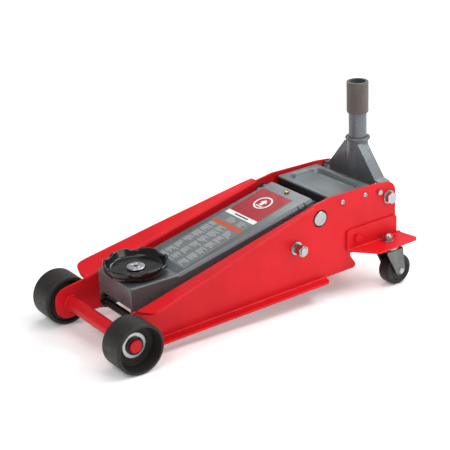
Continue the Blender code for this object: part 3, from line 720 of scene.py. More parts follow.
WHEEL_BLACK = Grained("wheel_casting_black", (0.019, 0.0175, 0.016), (0.029, 0.027, 0.025),
                      0.50, grain=0.22)
TYRE_BLACK = Grained("caster_tread_black", (0.012, 0.012, 0.011), (0.020, 0.019, 0.018), 0.45,
                     grain=0.15)
ZINC = Plated("zinc_plating", (0.46, 0.47, 0.49), (0.40, 0.41, 0.43), 0.30)
STEEL = Plated("ground_steel", (0.40, 0.41, 0.42), (0.35, 0.36, 0.37), 0.32,
               (0.2, 1.0, 1.0), 0.08)
BRASS = Plated("brass_screw", (0.66, 0.48, 0.17), (0.50, 0.36, 0.13), 0.30)
DARK_STEEL = Plated("oiled_dark_steel", (0.095, 0.100, 0.105), (0.060, 0.063, 0.068), 0.40,
                    (1.0, 0.2, 1.0), 0.14)
FORK_GREY = Plated("fork_dull_plating", (0.200, 0.205, 0.195), (0.140, 0.144, 0.138), 0.46,
                   (1.0, 1.0, 0.25), 0.16)
FOAM = Foam("foam_sleeve_brown", (0.115, 0.092, 0.080), (0.085, 0.070, 0.062), 0.88)
RED_INK = Ink("label_red_ink", (0.350, 0.007, 0.016), (0.310, 0.006, 0.014), 0.34)
WHITE_INK = Ink("label_white_ink", (0.82, 0.81, 0.80), (0.74, 0.73, 0.72), 0.36)
BLACK_INK = Ink("label_black_ink", (0.012, 0.012, 0.012), (0.018, 0.018, 0.018), 0.38)
ORANGE_INK = Ink("label_orange_ink", (0.560, 0.075, 0.014), (0.500, 0.064, 0.012), 0.36)
PALE_INK = Ink("label_pale_lines", (0.520, 0.530, 0.525), (0.460, 0.470, 0.465), 0.40)
SHEET_INK = Ink("label_grey_film", (0.165, 0.178, 0.186), (0.140, 0.152, 0.160), 0.34)


# ---- geometry node trees --------------------------------------------------------------
class PatternTree(ABC):
    """A geometry node group with named sizes that ends in Realize Instances and Set Material.

    Attributes:
        title: name of the node group.
        sizes: names of its size inputs.
    """

    title: str = ""
    sizes: tuple[str, ...] = ()

    def __init__(self) -> None:
        """Build the group."""
        self.group = bpy.data.node_groups.new(self.title, "GeometryNodeTree")
        face = self.group.interface
        kinds = [("Base", "NodeSocketGeometry")]
        kinds += [(size, "NodeSocketFloat") for size in self.sizes]
        kinds += [("Finish", "NodeSocketMaterial")]
        self.keys = {name: face.new_socket(name, in_out="INPUT", socket_type=kind).identifier
                     for name, kind in kinds}
        face.new_socket("Result", in_out="OUTPUT", socket_type="NodeSocketGeometry")
        self.source = self.group.nodes.new("NodeGroupInput")
        realized = self.node("GeometryNodeRealizeInstances", Geometry=self.pattern())
        dressed = self.node("GeometryNodeSetMaterial", Geometry=realized.outputs[0],
                            Material=self.source.outputs["Finish"])
        self.group.links.new(dressed.outputs[0],
                             self.group.nodes.new("NodeGroupOutput").inputs["Result"])

    def node(self, kind: str, options: dict[str, object] | None = None,
             **inputs: Socket | float | int | bool | Corner) -> bpy.types.Node:
        """Add a node.

        Args:
            kind: the node's type name.
            options: properties set on the node itself.
            **inputs: sockets to link or values to set, by input name with _ for spaces.

        Returns:
            The new node.
        """
        made = self.group.nodes.new(kind)
        for key, value in (options or {}).items():
            setattr(made, key, value)
        for key, value in inputs.items():
            named = [item for item in made.inputs if item.name == key.replace("_", " ")]
            socket = next((item for item in named if item.enabled), named[0])
            if isinstance(value, Socket):
                self.group.links.new(value, socket)
            else:
                socket.default_value = value
        return made

    def sum(self, operation: str, first: Socket | float, second: Socket | float) -> Socket:
        """Math node over two numbers or sockets.

        Args:
            operation: what the node works out.
            first: first input.
            second: second input.

        Returns:
            Socket of the result.
        """
        made = self.group.nodes.new("ShaderNodeMath")
        made.operation = operation
        for socket, value in zip(made.inputs, (first, second)):
            if isinstance(value, Socket):
                self.group.links.new(value, socket)
            else:
                socket.default_value = value
        return made.outputs[0]

    @abstractmethod
    def pattern(self) -> Socket:
        """Lay the tree's nodes and give their geometry."""

    def grow(self, base: Mesh, finish: Finish, **sizes: float) -> Mesh:
        """Run the tree on a mesh.

        Args:
            base: mesh of seats or paths.
            finish: finish of the grown geometry.
            **sizes: the tree's sizes, with _ for spaces.

        Returns:
            The grown geometry as a plain mesh.
        """
        holder = held(base)
        step = holder.modifiers.new(self.title, "NODES")
        step.node_group = self.group
        step[self.keys["Finish"]] = finish.material()
        for name, value in sizes.items():
            step[self.keys[name.replace("_", " ")]] = value
        return evaluated(holder)


class SeatedPattern(PatternTree):
    """Pattern whose shape is set on every seat point, turned to the seat's facing."""

    def shape(self) -> Socket:
        """Geometry of one unit, standing on the origin along +Z."""
        raise NotImplementedError

    def pattern(self) -> Socket:
        """Set the unit on the seats.

        Returns:
            Socket of the instances.
        """
        facing = self.node("GeometryNodeInputNamedAttribute",
                           {"data_type": "FLOAT_VECTOR"}, Name="facing")
        turn = self.node("FunctionNodeAlignRotationToVector", {"axis": "Z"},
                         Vector=facing.outputs["Attribute"])
        spots = self.node("GeometryNodeMeshToPoints", Mesh=self.source.outputs["Base"])
        placed = self.node("GeometryNodeInstanceOnPoints", Points=spots.outputs[0],
                           Instance=self.shape(), Rotation=turn.outputs[0])
        return placed.outputs["Instances"]


class HexHeads(SeatedPattern):
    """Chamfered six-sided heads or nuts."""

    title = "hex_heads"
    sizes = ("Across", "Height")

    def shape(self) -> Socket:
        """Hexagon met with a wide cone that takes its upper corners off.

        Returns:
            Socket of the one shape that is repeated.
        """
        across, height = self.source.outputs["Across"], self.source.outputs["Height"]
        middle = self.node("ShaderNodeCombineXYZ", Z=self.sum("MULTIPLY", height, 0.5))
        prism_node = self.node("GeometryNodeMeshCylinder", Vertices=6, Depth=height,
                               Radius=self.sum("MULTIPLY", across, 1.0 / math.sqrt(3.0)))
        lifted = self.node("GeometryNodeTransform", Geometry=prism_node.outputs["Mesh"],
                           Translation=middle.outputs[0])
        base = self.sum("ADD", self.sum("MULTIPLY", across, 0.475),
                        self.sum("MULTIPLY", height, 1.9))
        cone = self.node("GeometryNodeMeshCone", Vertices=48, Depth=height,
                         Radius_Top=self.sum("MULTIPLY", across, 0.475), Radius_Bottom=base)
        met = self.node("GeometryNodeMeshBoolean",
                        {"operation": "INTERSECT", "solver": "EXACT"})
        for part in (lifted.outputs[0], cone.outputs["Mesh"]):
            self.group.links.new(part, met.inputs[1])
        return met.outputs["Mesh"]


class BallRings(SeatedPattern):
    """Rings of bearing balls."""

    title = "ball_rings"
    sizes = ("Ring Radius", "Ball Radius", "Count")

    def shape(self) -> Socket:
        """Balls spaced evenly round a circle.

        Returns:
            Socket of the one shape that is repeated.
        """
        ring = self.node("GeometryNodeMeshCircle", Radius=self.source.outputs["Ring Radius"],
                         Vertices=self.source.outputs["Count"])
        ball = self.node("GeometryNodeMeshIcoSphere", Subdivisions=3,
                         Radius=self.source.outputs["Ball Radius"])
        smooth = self.node("GeometryNodeSetShadeSmooth", Geometry=ball.outputs["Mesh"])
        placed = self.node("GeometryNodeInstanceOnPoints", Points=ring.outputs[0],
                           Instance=smooth.outputs[0])
        return self.node("GeometryNodeRealizeInstances",
                         Geometry=placed.outputs["Instances"]).outputs[0]


class Threads(SeatedPattern):
    """Screw threads: a helical ridge that rises from the seat."""

    title = "screw_threads"
    sizes = ("Radius", "Pitch", "Length")

    def shape(self) -> Socket:
        """Three-sided ridge swept up a helix.

        Returns:
            Socket of the one shape that is repeated.
        """
        outputs = self.source.outputs
        turns = self.sum("DIVIDE", outputs["Length"], outputs["Pitch"])
        helix = self.node("GeometryNodeCurveSpiral", Resolution=28, Rotations=turns,
                          Start_Radius=outputs["Radius"], End_Radius=outputs["Radius"],
                          Height=outputs["Length"])
        ridge = self.node("GeometryNodeCurvePrimitiveCircle", {"mode": "RADIUS"},
                          Resolution=3, Radius=self.sum("MULTIPLY", outputs["Pitch"], 0.5))
        return self.node("GeometryNodeCurveToMesh", Curve=helix.outputs[0],
                         Profile_Curve=ridge.outputs[0], Fill_Caps=True).outputs[0]


class WeldBeads(PatternTree):
    """Rippled weld beads along the base mesh's edges."""

    title = "weld_beads"
    sizes = ("Bead Radius", "Ripple")

    def pattern(self) -> Socket:
        """Sweep a circle whose size swells at every ripple and wanders a little.

        Returns:
            Socket of the instances.
        """
        outputs = self.source.outputs
        path = self.node("GeometryNodeMeshToCurve", Mesh=outputs["Base"])
        fine = self.node("GeometryNodeResampleCurve", {"mode": "LENGTH"},
                         Curve=path.outputs[0],
                         Length=self.sum("MULTIPLY", outputs["Ripple"], 0.2))
        along = self.node("GeometryNodeSplineParameter")
        phase = self.sum("MULTIPLY", self.sum("DIVIDE", along.outputs["Length"],
                                              outputs["Ripple"]), math.pi)
        wave = self.sum("ABSOLUTE", self.sum("SINE", phase, 0.0), 0.0)
        wander = self.node("ShaderNodeTexNoise", {"noise_dimensions": "3D"}, Scale=260.0,
                           Detail=2.0)
        swell = self.sum("ADD", self.sum("MULTIPLY", wave, 0.16),
                         self.sum("MULTIPLY", wander.outputs["Fac"], 0.5))
        size = self.sum("MULTIPLY", outputs["Bead Radius"], self.sum("ADD", swell, 0.62))
        ring = self.node("GeometryNodeCurvePrimitiveCircle", {"mode": "RADIUS"},
                         Resolution=10, Radius=1.0)
        bead = self.node("GeometryNodeCurveToMesh", Curve=fine.outputs[0],
                         Profile_Curve=ring.outputs[0], Scale=size, Fill_Caps=True)
        return self.node("GeometryNodeSetShadeSmooth", Geometry=bead.outputs[0]).outputs[0]


class PrintedRows(PatternTree):
    """Rows of thin bars of uneven length, set out from the base mesh's points."""

    title = "printed_rows"
    sizes = ("Length", "Thickness", "Seed")

    def pattern(self) -> Socket:
        """Thin flat bars whose left ends line up.

        Returns:
            Socket of the instances.
        """
        outputs = self.source.outputs
        share = self.node("FunctionNodeRandomValue", {"data_type": "FLOAT"}, Min=0.35,
                          Max=1.0, Seed=outputs["Seed"])
        reach = self.sum("MULTIPLY", share.outputs[1], outputs["Length"])
        size = self.node("ShaderNodeCombineXYZ", X=reach, Y=outputs["Thickness"], Z=0.00004)
        bar = self.node("GeometryNodeMeshCube", Size=(1.0, 1.0, 1.0))
        moved = self.node("GeometryNodeTransform", Geometry=bar.outputs["Mesh"],
                          Translation=(0.5, 0.0, 0.0))
        spots = self.node("GeometryNodeMeshToPoints", Mesh=outputs["Base"])
        placed = self.node("GeometryNodeInstanceOnPoints", Points=spots.outputs[0],
                           Instance=moved.outputs[0], Scale=size.outputs[0])
        return placed.outputs["Instances"]


HEX_HEADS = HexHeads()
BALL_RINGS = BallRings()
THREADS = Threads()
WELD_BEADS = WeldBeads()
PRINTED_ROWS = PrintedRows()


def seats(*places: tuple[Sequence[float], Sequence[float]]) -> Mesh:
    """Base mesh of loose points, each with its facing, for the seated patterns.

    Args:
        places: a place and a direction for each seat.

    Returns:
        A mesh of loose points that carry their direction.
    """
    mesh = bpy.data.meshes.new("seats")
    mesh.from_pydata([tuple(point) for point, _ in places], [], [])
    facing = mesh.attributes.new("facing", "FLOAT_VECTOR", "POINT")
    for item, (_, direction) in zip(facing.data, places):
        item.vector = direction
    return mesh


def path(points: Sequence[Sequence[float]], closed: bool = False) -> Mesh:
    """Base mesh of one run of edges, for the weld beads.

    Args:
        points: places that the path runs through.
        closed: join the last point to the first.

    Returns:
        A mesh of edges.
    """
    mesh = bpy.data.meshes.new("path")
    edges = [(i, i + 1) for i in range(len(points) - 1)]
    if closed:
        edges.append((len(points) - 1, 0))
    mesh.from_pydata([tuple(point) for point in points], edges, [])
    return mesh


def hex_head(centre: Flat, across: float, lo: float, hi: float, axis: Axis) -> Mesh:
    """One chamfered hexagon between two places on an axis; the chamfer is at hi.

    Args:
        centre: where the axis crosses its plane.
        across: distance across the flats.
        lo: start along the axis.
        hi: end along the axis.
        axis: direction that it points along.

    Returns:
        The head, with its corners eased.
    """
    low, high = axis.point(*centre, lo), axis.point(*centre, hi)
    return HEX_HEADS.grow(seats((low, (high - low).normalized())), ZINC, Across=across,
                          Height=abs(hi - lo))


def bead(points: Sequence[Sequence[float]], radius: float, finish: Finish,
         closed: bool = False, ripple: float = 0.0022) -> Mesh:
    """One weld bead along a run of points."""
    return WELD_BEADS.grow(path(points, closed), finish, Bead_Radius=radius, Ripple=ripple)


# ---- setting pieces -------------------------------------------------------------------
def seat(name: str, mesh: Mesh, body: str, finish: Finish, nodes: Sequence[str] = (),
         edge: float = 0.0) -> bpy.types.Object:
    """Stand a piece on the floor frame, dress it and hang it on its body.

    Args:
        name: the piece's name.
        mesh: its mesh in the chassis frame.
        body: the body that it rides on.
        finish: its finish.
        nodes: solid-model nodes that it stands for.
        edge: width of the small round worked on every sharp edge, 0 for none.

    Returns:
        The piece's object.
    """
    mesh.transform(STANCE)
    mesh.materials.clear()
    mesh.materials.append(finish.material())
    mesh.polygons.foreach_set("material_index", [0] * len(mesh.polygons))
    mesh.shade_smooth()
    holder = held(mesh)
    if edge > 0.0:
        softener = holder.modifiers.new("edge", "BEVEL")
        softener.width = edge
        softener.segments = 2
        softener.limit_method = "ANGLE"
        softener.angle_limit = math.radians(38.0)
        softener.miter_outer = "MITER_ARC"
    final = evaluated(holder)
    final.set_sharp_from_angle(angle=math.radians(50.0))
    holder = held(final)
    even = holder.modifiers.new("even", "WEIGHTED_NORMAL")
    even.keep_sharp = True
    even.weight = 100
    final = evaluated(holder)
    final.name = name
    piece = bpy.data.objects.new(name, final)
    bpy.context.scene.collection.objects.link(piece)
    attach(piece, body)
    if nodes:
        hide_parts(*nodes)
    LOG.info("%s on %s, %d faces", name, body, len(final.polygons))
    return piece


def dress(finish: Finish, *nodes: str) -> None:
    """Give solid-model nodes that stay their finish.

    Args:
        finish: surface treatment.
        nodes: names of the solids.
    """
    for name in nodes:
        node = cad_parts[name]
        if not node.material_slots:
            node.data.materials.append(finish.material())
        for place in node.material_slots:
            place.material = finish.material()
        LOG.info("%s keeps its shape, finish %s", name, finish.name)


def round_fold(corner: Flat, radius: float, start: float, end: float, steps: int,
               half: float) -> tuple[list[Flat], list[Flat]]:
    """Both faces of a bend in sheet metal.

    Args:
        corner: centre of the bend.
        radius: radius of the sheet's middle line.
        start: first angle in degrees.
        end: last angle in degrees.
        steps: chords in the bend.
        half: half the sheet's thickness.

    Returns:
        Points of the outer face and of the inner face, in the same order.
    """
    return (arc(corner, radius + half, start, end, steps),
            arc(corner, radius - half, start, end, steps))


# ---- chassis --------------------------------------------------------------------------
@dataclass
class SidePlates:
    """Two folded side plates with a rising top flange and a flat bottom flange."""

    outer: float = 0.0868
    thick: float = 0.0040
    rear: float = 0.6095
    nose: float = -0.0310
    foot: float = 0.0186
    fold_base: float = 0.0768
    fold_slope: float = 0.2254
    flange_tilt: float = 0.16
    bend: float = 0.0050
    bottom_middle: float = 0.0170
    top_span: Flat = (0.0300, 0.4120)
    bottom_span: Flat = (0.0480, 0.4390)
    arm_pivot: Flat = (0.4265, 0.1395)
    rod_pivot: Flat = (0.3700, 0.0980)
    yoke_pivot: Flat = (0.5922, 0.1380)

    @property
    def inner(self) -> float:
        """Inner face of the web."""
        return self.outer - self.thick

    def fold(self, y: float) -> float:
        """Height of the top fold."""
        return self.fold_base + self.fold_slope * y

    def section(self, y: float, raise_top: float, drop_bottom: float) -> list[Vector]:
        """Ring of the bent sheet at y, its flanges moved out of the way by the two amounts.

        Args:
            y: distance behind the front axle.
            raise_top: how far the top flange is lifted.
            drop_bottom: how far the bottom flange is dropped.

        Returns:
            The ring of points.
        """
        half = self.thick / 2.0
        middle = self.outer - half
        tilt = math.atan(self.flange_tilt)
        top = self.fold(y) - half + raise_top + self.flange_tilt * half
        drop = self.bend * math.tan((math.pi / 2.0 - tilt) / 2.0)
        upper, upper_in = round_fold((middle + self.bend, top - drop), self.bend,
                                     90.0 + math.degrees(tilt), 180.0, 8, half)
        low = self.bottom_middle - drop_bottom
        lower, lower_in = round_fold((middle + self.bend, low + self.bend), self.bend, 180.0,
                                     270.0, 8, half)
        reach = 0.140
        rise = self.flange_tilt * (reach - middle)
        outside = [(reach, top + rise + half)] + upper + lower + [(reach, low - half)]
        inside = [(reach, low + half)] + lower_in[::-1] + upper_in[::-1]
        inside += [(reach, top + rise - half)]
        return [Vector((x, y, z)) for x, z in outside + inside]

    def plate(self) -> Mesh:
        """Left-hand plate.

        Returns:
            The plate with its holes.
        """
        t0, t1 = self.top_span
        b0, b1 = self.bottom_span
        up, step = 0.03, 0.0005
        stations = [(self.nose, up, up), (t0 - step, up, up), (t0, 0.0, up),
                    (b0 - step, 0.0, up), (b0, 0.0, 0.0), (t1, 0.0, 0.0),
                    (t1 + step, up, 0.0), (b1, up, 0.0), (b1 + step, up, up),
                    (self.rear, up, up)]
        sheet = skin([self.section(*station) for station in stations])
        web = prism(rounded([
            (self.nose, self.foot, 0.0240), (0.5150, self.foot, 0.0060),
            (0.4900, 0.0560, 0.0080), (self.rear, 0.0560, 0.0020),
            (self.rear, 0.1655, 0.0220), (0.5600, 0.1712, 0.0), (0.4500, 0.1738, 0.0300),
            (0.4080, self.fold(0.4080) - 0.0010, 0.0), (t0, self.fold(t0) - 0.0010, 0.0),
            (self.nose, 0.0735, 0.0240),
        ]), self.inner - 0.0010, self.outer + 0.00001, Axis.X)
        top = prism(rounded([
            (self.inner - 0.0015, t0, 0.0), (0.1010, 0.0312, 0.0), (0.1290, 0.0385, 0.0140),
            (0.1290, 0.0600, 0.0200), (0.1160, 0.2100, 0.0), (0.0980, 0.3900, 0.0600),
            (0.0945, t1 - 0.0030, 0.0040), (self.inner - 0.0015, t1, 0.0),
        ], 10), -0.030, 0.030, Axis.Z)
        reshape(top, lambda x, y, z: (x, y, z + self.fold(y)))
        bottom = prism(rounded([
            (self.inner - 0.0015, b0, 0.0), (0.1054, b0, 0.0100), (0.1054, 0.4340, 0.0100),
            (self.inner - 0.0015, b1, 0.0),
        ]), 0.0, 0.0300, Axis.Z)
        zone = join(web, top, bottom)
        plate = carve(sheet, [zone], "INTERSECT")
        holes = [
            (self.arm_pivot, 0.0165), (self.rod_pivot, 0.0083), ((0.0, WHEEL_R), 0.0121),
            (self.yoke_pivot, 0.0083), ((0.5680, 0.1540), 0.0034), ((0.4790, 0.1575), 0.0029),
            ((0.5335, 0.1570), 0.0029), ((0.5100, 0.0800), 0.0043),
        ]
        return cut(plate, *[rod(place, radius, 0.07, 0.10, Axis.X, 40)
                            for place, radius in holes])

    def build(self) -> None:
        """Make both plates."""
        plate = self.plate()
        for side in Side:
            seat("side_pressing_" + side.tag, mirrored(plate, side), "chassis", RED,
                 ["side_plate_" + side.tag], edge=0.0005)


@dataclass
class FrontAxle:
    """Cross tube with stepped stubs, welded to the side plates."""

    tube: float = 0.0130
    stub: float = 0.0120
    end: float = 0.1290
    inner: float = 0.0825

    def build(self) -> None:
        """Turn the axle and lay a bead round each end of the tube."""
        half = [(self.tube, self.inner), (self.stub, self.inner), (self.stub, self.end - 0.0022),
                (self.stub - 0.0006, self.end - 0.0008), (0.0100, self.end), (0.0, self.end)]
        outline = [(r, -w) for r, w in reversed(half)] + half
        centre = (0.0, 0.0, WHEEL_R)
        seat("axle_turning", turned(outline, centre, Axis.X), "chassis", RED, ["front_axle"],
             edge=0.0003)
        rings = []
        for side in Side:
            ring = arc((0.0, WHEEL_R), self.tube + 0.0004, 0.0, 350.0, 35)
            points = [(side.value * (self.inner - 0.0006), y, z) for y, z in ring]
            rings.append(bead(points, 0.0028, RED, closed=True))
        seat("axle_welds", merged(*rings), "chassis", RED)


@dataclass
class FrontWheels:
    """Wide cast wheels with a deep dish, a hub washer and a spring clip."""

    inside: float = 0.0931
    outside: float = 0.1453
    hub_face: float = 0.1200
    bore: float = 0.0123

    def wheel(self) -> Mesh:
        """Left-hand wheel.

        Returns:
            The turned wheel.
        """
        r, a, b = WHEEL_R, self.inside, self.outside
        outline = [(self.bore, a + 0.0004), (0.0190, a + 0.0004), (0.0200, a + 0.0014)]
        outline += [(0.0215, a + 0.0040), (0.0360, a + 0.0040), (0.0375, a + 0.0020)]
        outline += [(0.0390, a)] + arc((r - 0.0035, a + 0.0035), 0.0035, 270.0, 360.0, 6)
        outline += [(r, a + 0.0130), (r, b - 0.0130)]
        outline += arc((r - 0.0036, b - 0.0036), 0.0036, 0.0, 90.0, 6)
        outline += [(0.0404, b), (0.0398, b - 0.0005), (0.0393, b - 0.0016)]
        outline += [(0.0376, 0.1300), (0.0368, 0.1262)]
        outline += arc((0.0338, self.hub_face + 0.0024), 0.0024, 0.0, -90.0, 5)
        outline += [(0.0300, self.hub_face), (0.0294, self.hub_face - 0.0007)]
        outline += [(0.0262, self.hub_face - 0.0007), (0.0256, self.hub_face)]
        outline += [(self.bore, self.hub_face)]
        return turned(outline, (0.0, 0.0, WHEEL_R), Axis.X, 112)

    def clip(self) -> Mesh:
        """Open spring ring with two eyelets.

        Returns:
            The clip.
        """
        centre = (0.0, WHEEL_R)
        ring = arc(centre, 0.0162, 70.0, 290.0 + 110.0, 44)
        ring += reversed(arc(centre, self.bore + 0.0001, 70.0, 400.0, 44))
        clip = prism(ring, 0.1232, 0.1252, Axis.X)
        for angle in (68.0, 42.0):
            y = centre[0] + 0.0146 * math.cos(math.radians(angle))
            z = centre[1] + 0.0146 * math.sin(math.radians(angle))
            clip = join(clip, rod((y, z), 0.0020, 0.1232, 0.1252, Axis.X, 20))
            clip = cut(clip, rod((y, z), 0.0008, 0.12, 0.13, Axis.X, 12))
        return clip

    def build(self) -> None:
        """Make both wheels and their retainers."""
        wheel, clip = self.wheel(), self.clip()
        washer = turned([(self.bore, 0.1203), (0.0221, 0.1203), (0.0225, 0.1207),
                         (0.0225, 0.1219), (0.0221, 0.1223), (self.bore, 0.1223)],
                        (0.0, 0.0, WHEEL_R), Axis.X)
        for side in Side:
            seat("cast_wheel_" + side.tag, mirrored(wheel, side), "front_wheel_" + side.tag,
                 WHEEL_BLACK, ["front_wheel_" + side.tag])
            seat("wheel_washer_" + side.tag, mirrored(washer, side), "chassis", ZINC,
                 ["hub_washer_" + side.tag])
            seat("spring_clip_" + side.tag, mirrored(clip, side), "chassis", BLACK_PAINT,
                 ["axle_clip_" + side.tag], edge=0.0002)


# ---- lift linkage ---------------------------------------------------------------------
@dataclass
class LiftArm:
    """Tapered channel arm with its cheeks, label, rear screw, crank roller and pivot pin."""

    front: float = 0.1346
    rear: float = 0.4290
    half: Flat = (0.0600, 0.0633)
    top: Flat = (0.1090, 0.1690)
    low: Flat = (0.0790, 0.1215)
    thick: float = 0.0040
    corner: float = 0.0070
    pivot: Flat = (0.4265, 0.1395)
    head_pivot: Flat = (0.1045, 0.0880)
    crank: Flat = (0.4265 + 0.0550 * math.sin(math.radians(33.0)),
                   0.1395 - 0.0550 * math.cos(math.radians(33.0)))

    def at(self, pair: Flat, y: float) -> float:
        """Straight-line value of a (front, rear) pair at y."""
        return pair[0] + (pair[1] - pair[0]) * (y - self.front) / (self.rear - self.front)

    def ring(self, y: float) -> list[Vector]:
        """Section of the channel at y.

        Args:
            y: distance behind the front axle.

        Returns:
            The ring of points.
        """
        half, top, low = self.at(self.half, y), self.at(self.top, y), self.at(self.low, y)
        centre = (half - self.corner, top - self.corner)
        outer = arc(centre, self.corner, 0.0, 90.0, 10)
        inner = arc(centre, self.corner - self.thick, 90.0, 0.0, 10)
        right = [(half, low)] + outer
        back = inner + [(half - self.thick, low)]
        left = [(-x, z) for x, z in reversed(right)]
        under = [(-x, z) for x, z in reversed(back)]
        return [Vector((x, y, z)) for x, z in right + left + under + back]

    def channel(self) -> Mesh:
        """Channel, cheeks, spacers and bosses as one welded body.

        Returns:
            The welded arm.
        """
        arm = skin([self.ring(y) for y in (self.front, self.rear)])
        (ay, az), (hy, hz), (cy, cz) = self.pivot, self.head_pivot, self.crank
        cheek = rounded([
            (hy - 0.0135, hz - 0.0135, 0.0130), (0.2100, 0.0830, 0.0200),
            (0.3950, 0.1150, 0.0200), (cy - 0.0260, cz + 0.0050, 0.0120),
            (cy + 0.0020, cz - 0.0150, 0.0120), (cy + 0.0170, cz + 0.0060, 0.0120),
            (ay + 0.0230, az + 0.0210, 0.0200), (ay - 0.0300, az + 0.0190, 0.0150),
            (hy + 0.0300, hz + 0.0140, 0.0060), (hy - 0.0135, hz + 0.0125, 0.0120),
        ])
        spacer = [(0.1500, 0.0850), (0.4200, 0.1290), (0.4200, 0.1500), (0.1500, 0.1000)]
        for side in Side:
            s = side.value
            arm = join(arm, prism(cheek, s * 0.0488, s * 0.0528, Axis.X),
                       prism(spacer, s * 0.0520, s * 0.0575, Axis.X),
                       rod(self.pivot, 0.0200, s * 0.0520, s * 0.0660, Axis.X))
        return cut(arm, rod(self.pivot, 0.0143, -0.09, 0.09, Axis.X),
                   rod(self.head_pivot, 0.0083, -0.09, 0.09, Axis.X),
                   rod(self.crank, 0.0063, -0.09, 0.09, Axis.X),
                   rod((0.0, 0.4190), 0.0033, 0.10, 0.20, Axis.Z, 24))

    def welds(self) -> Mesh:
        """Beads along the cheeks, and the tacks on the rounded edges near the rear end.

        Returns:
            All the beads.
        """
        beads = []
        for side in Side:
            s = side.value
            for y0, y1 in ((0.1700, 0.2200), (0.2600, 0.3200), (0.3500, 0.4100)):
                run = [(s * 0.0530, y, 0.1000 - 0.0004 + (y - 0.15) * 0.1852)
                       for y in (y0, (y0 + y1) / 2.0, y1)]
                beads.append(bead(run, 0.0022, GREY))
            for y in (0.3985, 0.4130):
                half, top = self.at(self.half, y), self.at(self.top, y)
                bend = [(half - self.corner + self.corner * math.cos(a),
                         top - self.corner + self.corner * math.sin(a))
                        for a in (math.radians(d) for d in (15.0, 30.0, 45.0, 60.0, 75.0))]
                beads.append(bead([(s * x, y, z) for x, z in bend], 0.0026, GREY,
                                  ripple=0.0030))
        return merged(*beads)

    def build(self) -> None:
        """Make the arm and what rides on it."""
        seat("arm_channel", self.channel(), "lift_arm", GREY, ["lift_arm"], edge=0.0005)
        seat("arm_welds", self.welds(), "lift_arm", GREY)
        z = self.at(self.top, 0.4190)
        slope = (self.top[1] - self.top[0]) / (self.rear - self.front)
        head = turned([(0.0, z - 0.0060), (0.0030, z - 0.0060), (0.0030, z + 0.0012),
                       (0.0050, z + 0.0012), (0.0053, z + 0.0017), (0.0044, z + 0.0032),
                       (0.0024, z + 0.0037), (0.0, z + 0.0038)], (0.0, 0.4190, 0.0), Axis.Z, 40)
        slot_cut = prism(block_outline(-0.0060, 0.0060, 0.4184, 0.4196), z + 0.0026, z + 0.01,
                         Axis.Z)
        seat("arm_stop_screw", cut(head, slot_cut), "lift_arm", BRASS, ["arm_rear_screw"],
             edge=0.0001)
        pin_half = [(0.0140, 0.0874), (0.0128, 0.0885), (0.0060, 0.0888), (0.0, 0.0885)]
        pin = turned([(r, -w) for r, w in reversed(pin_half)] + pin_half,
                     (0.0, *self.pivot), Axis.X)
        seat("arm_pivot_shaft", pin, "chassis", STEEL, ["arm_pivot_pin"], edge=0.0002)
        # Black rings inside the plates, seen through the gap round the pivot pin: a dark piece
        # standing for the shade in that gap.
        collar = turned([(0.0139, 0.0664), (0.0210, 0.0666), (0.0210, 0.0820),
                         (0.0139, 0.0822)], (0.0, *self.pivot), Axis.X)
        seat("arm_pivot_shade_rings", merged(*[mirrored(collar, side) for side in Side]),
             "chassis", BLACK_PAINT)
        dress(STEEL, "crank_roller")
        dress(GREY, "head_pivot_pin")
        ArmLabel(slope, self.top[0] - slope * self.front).build()


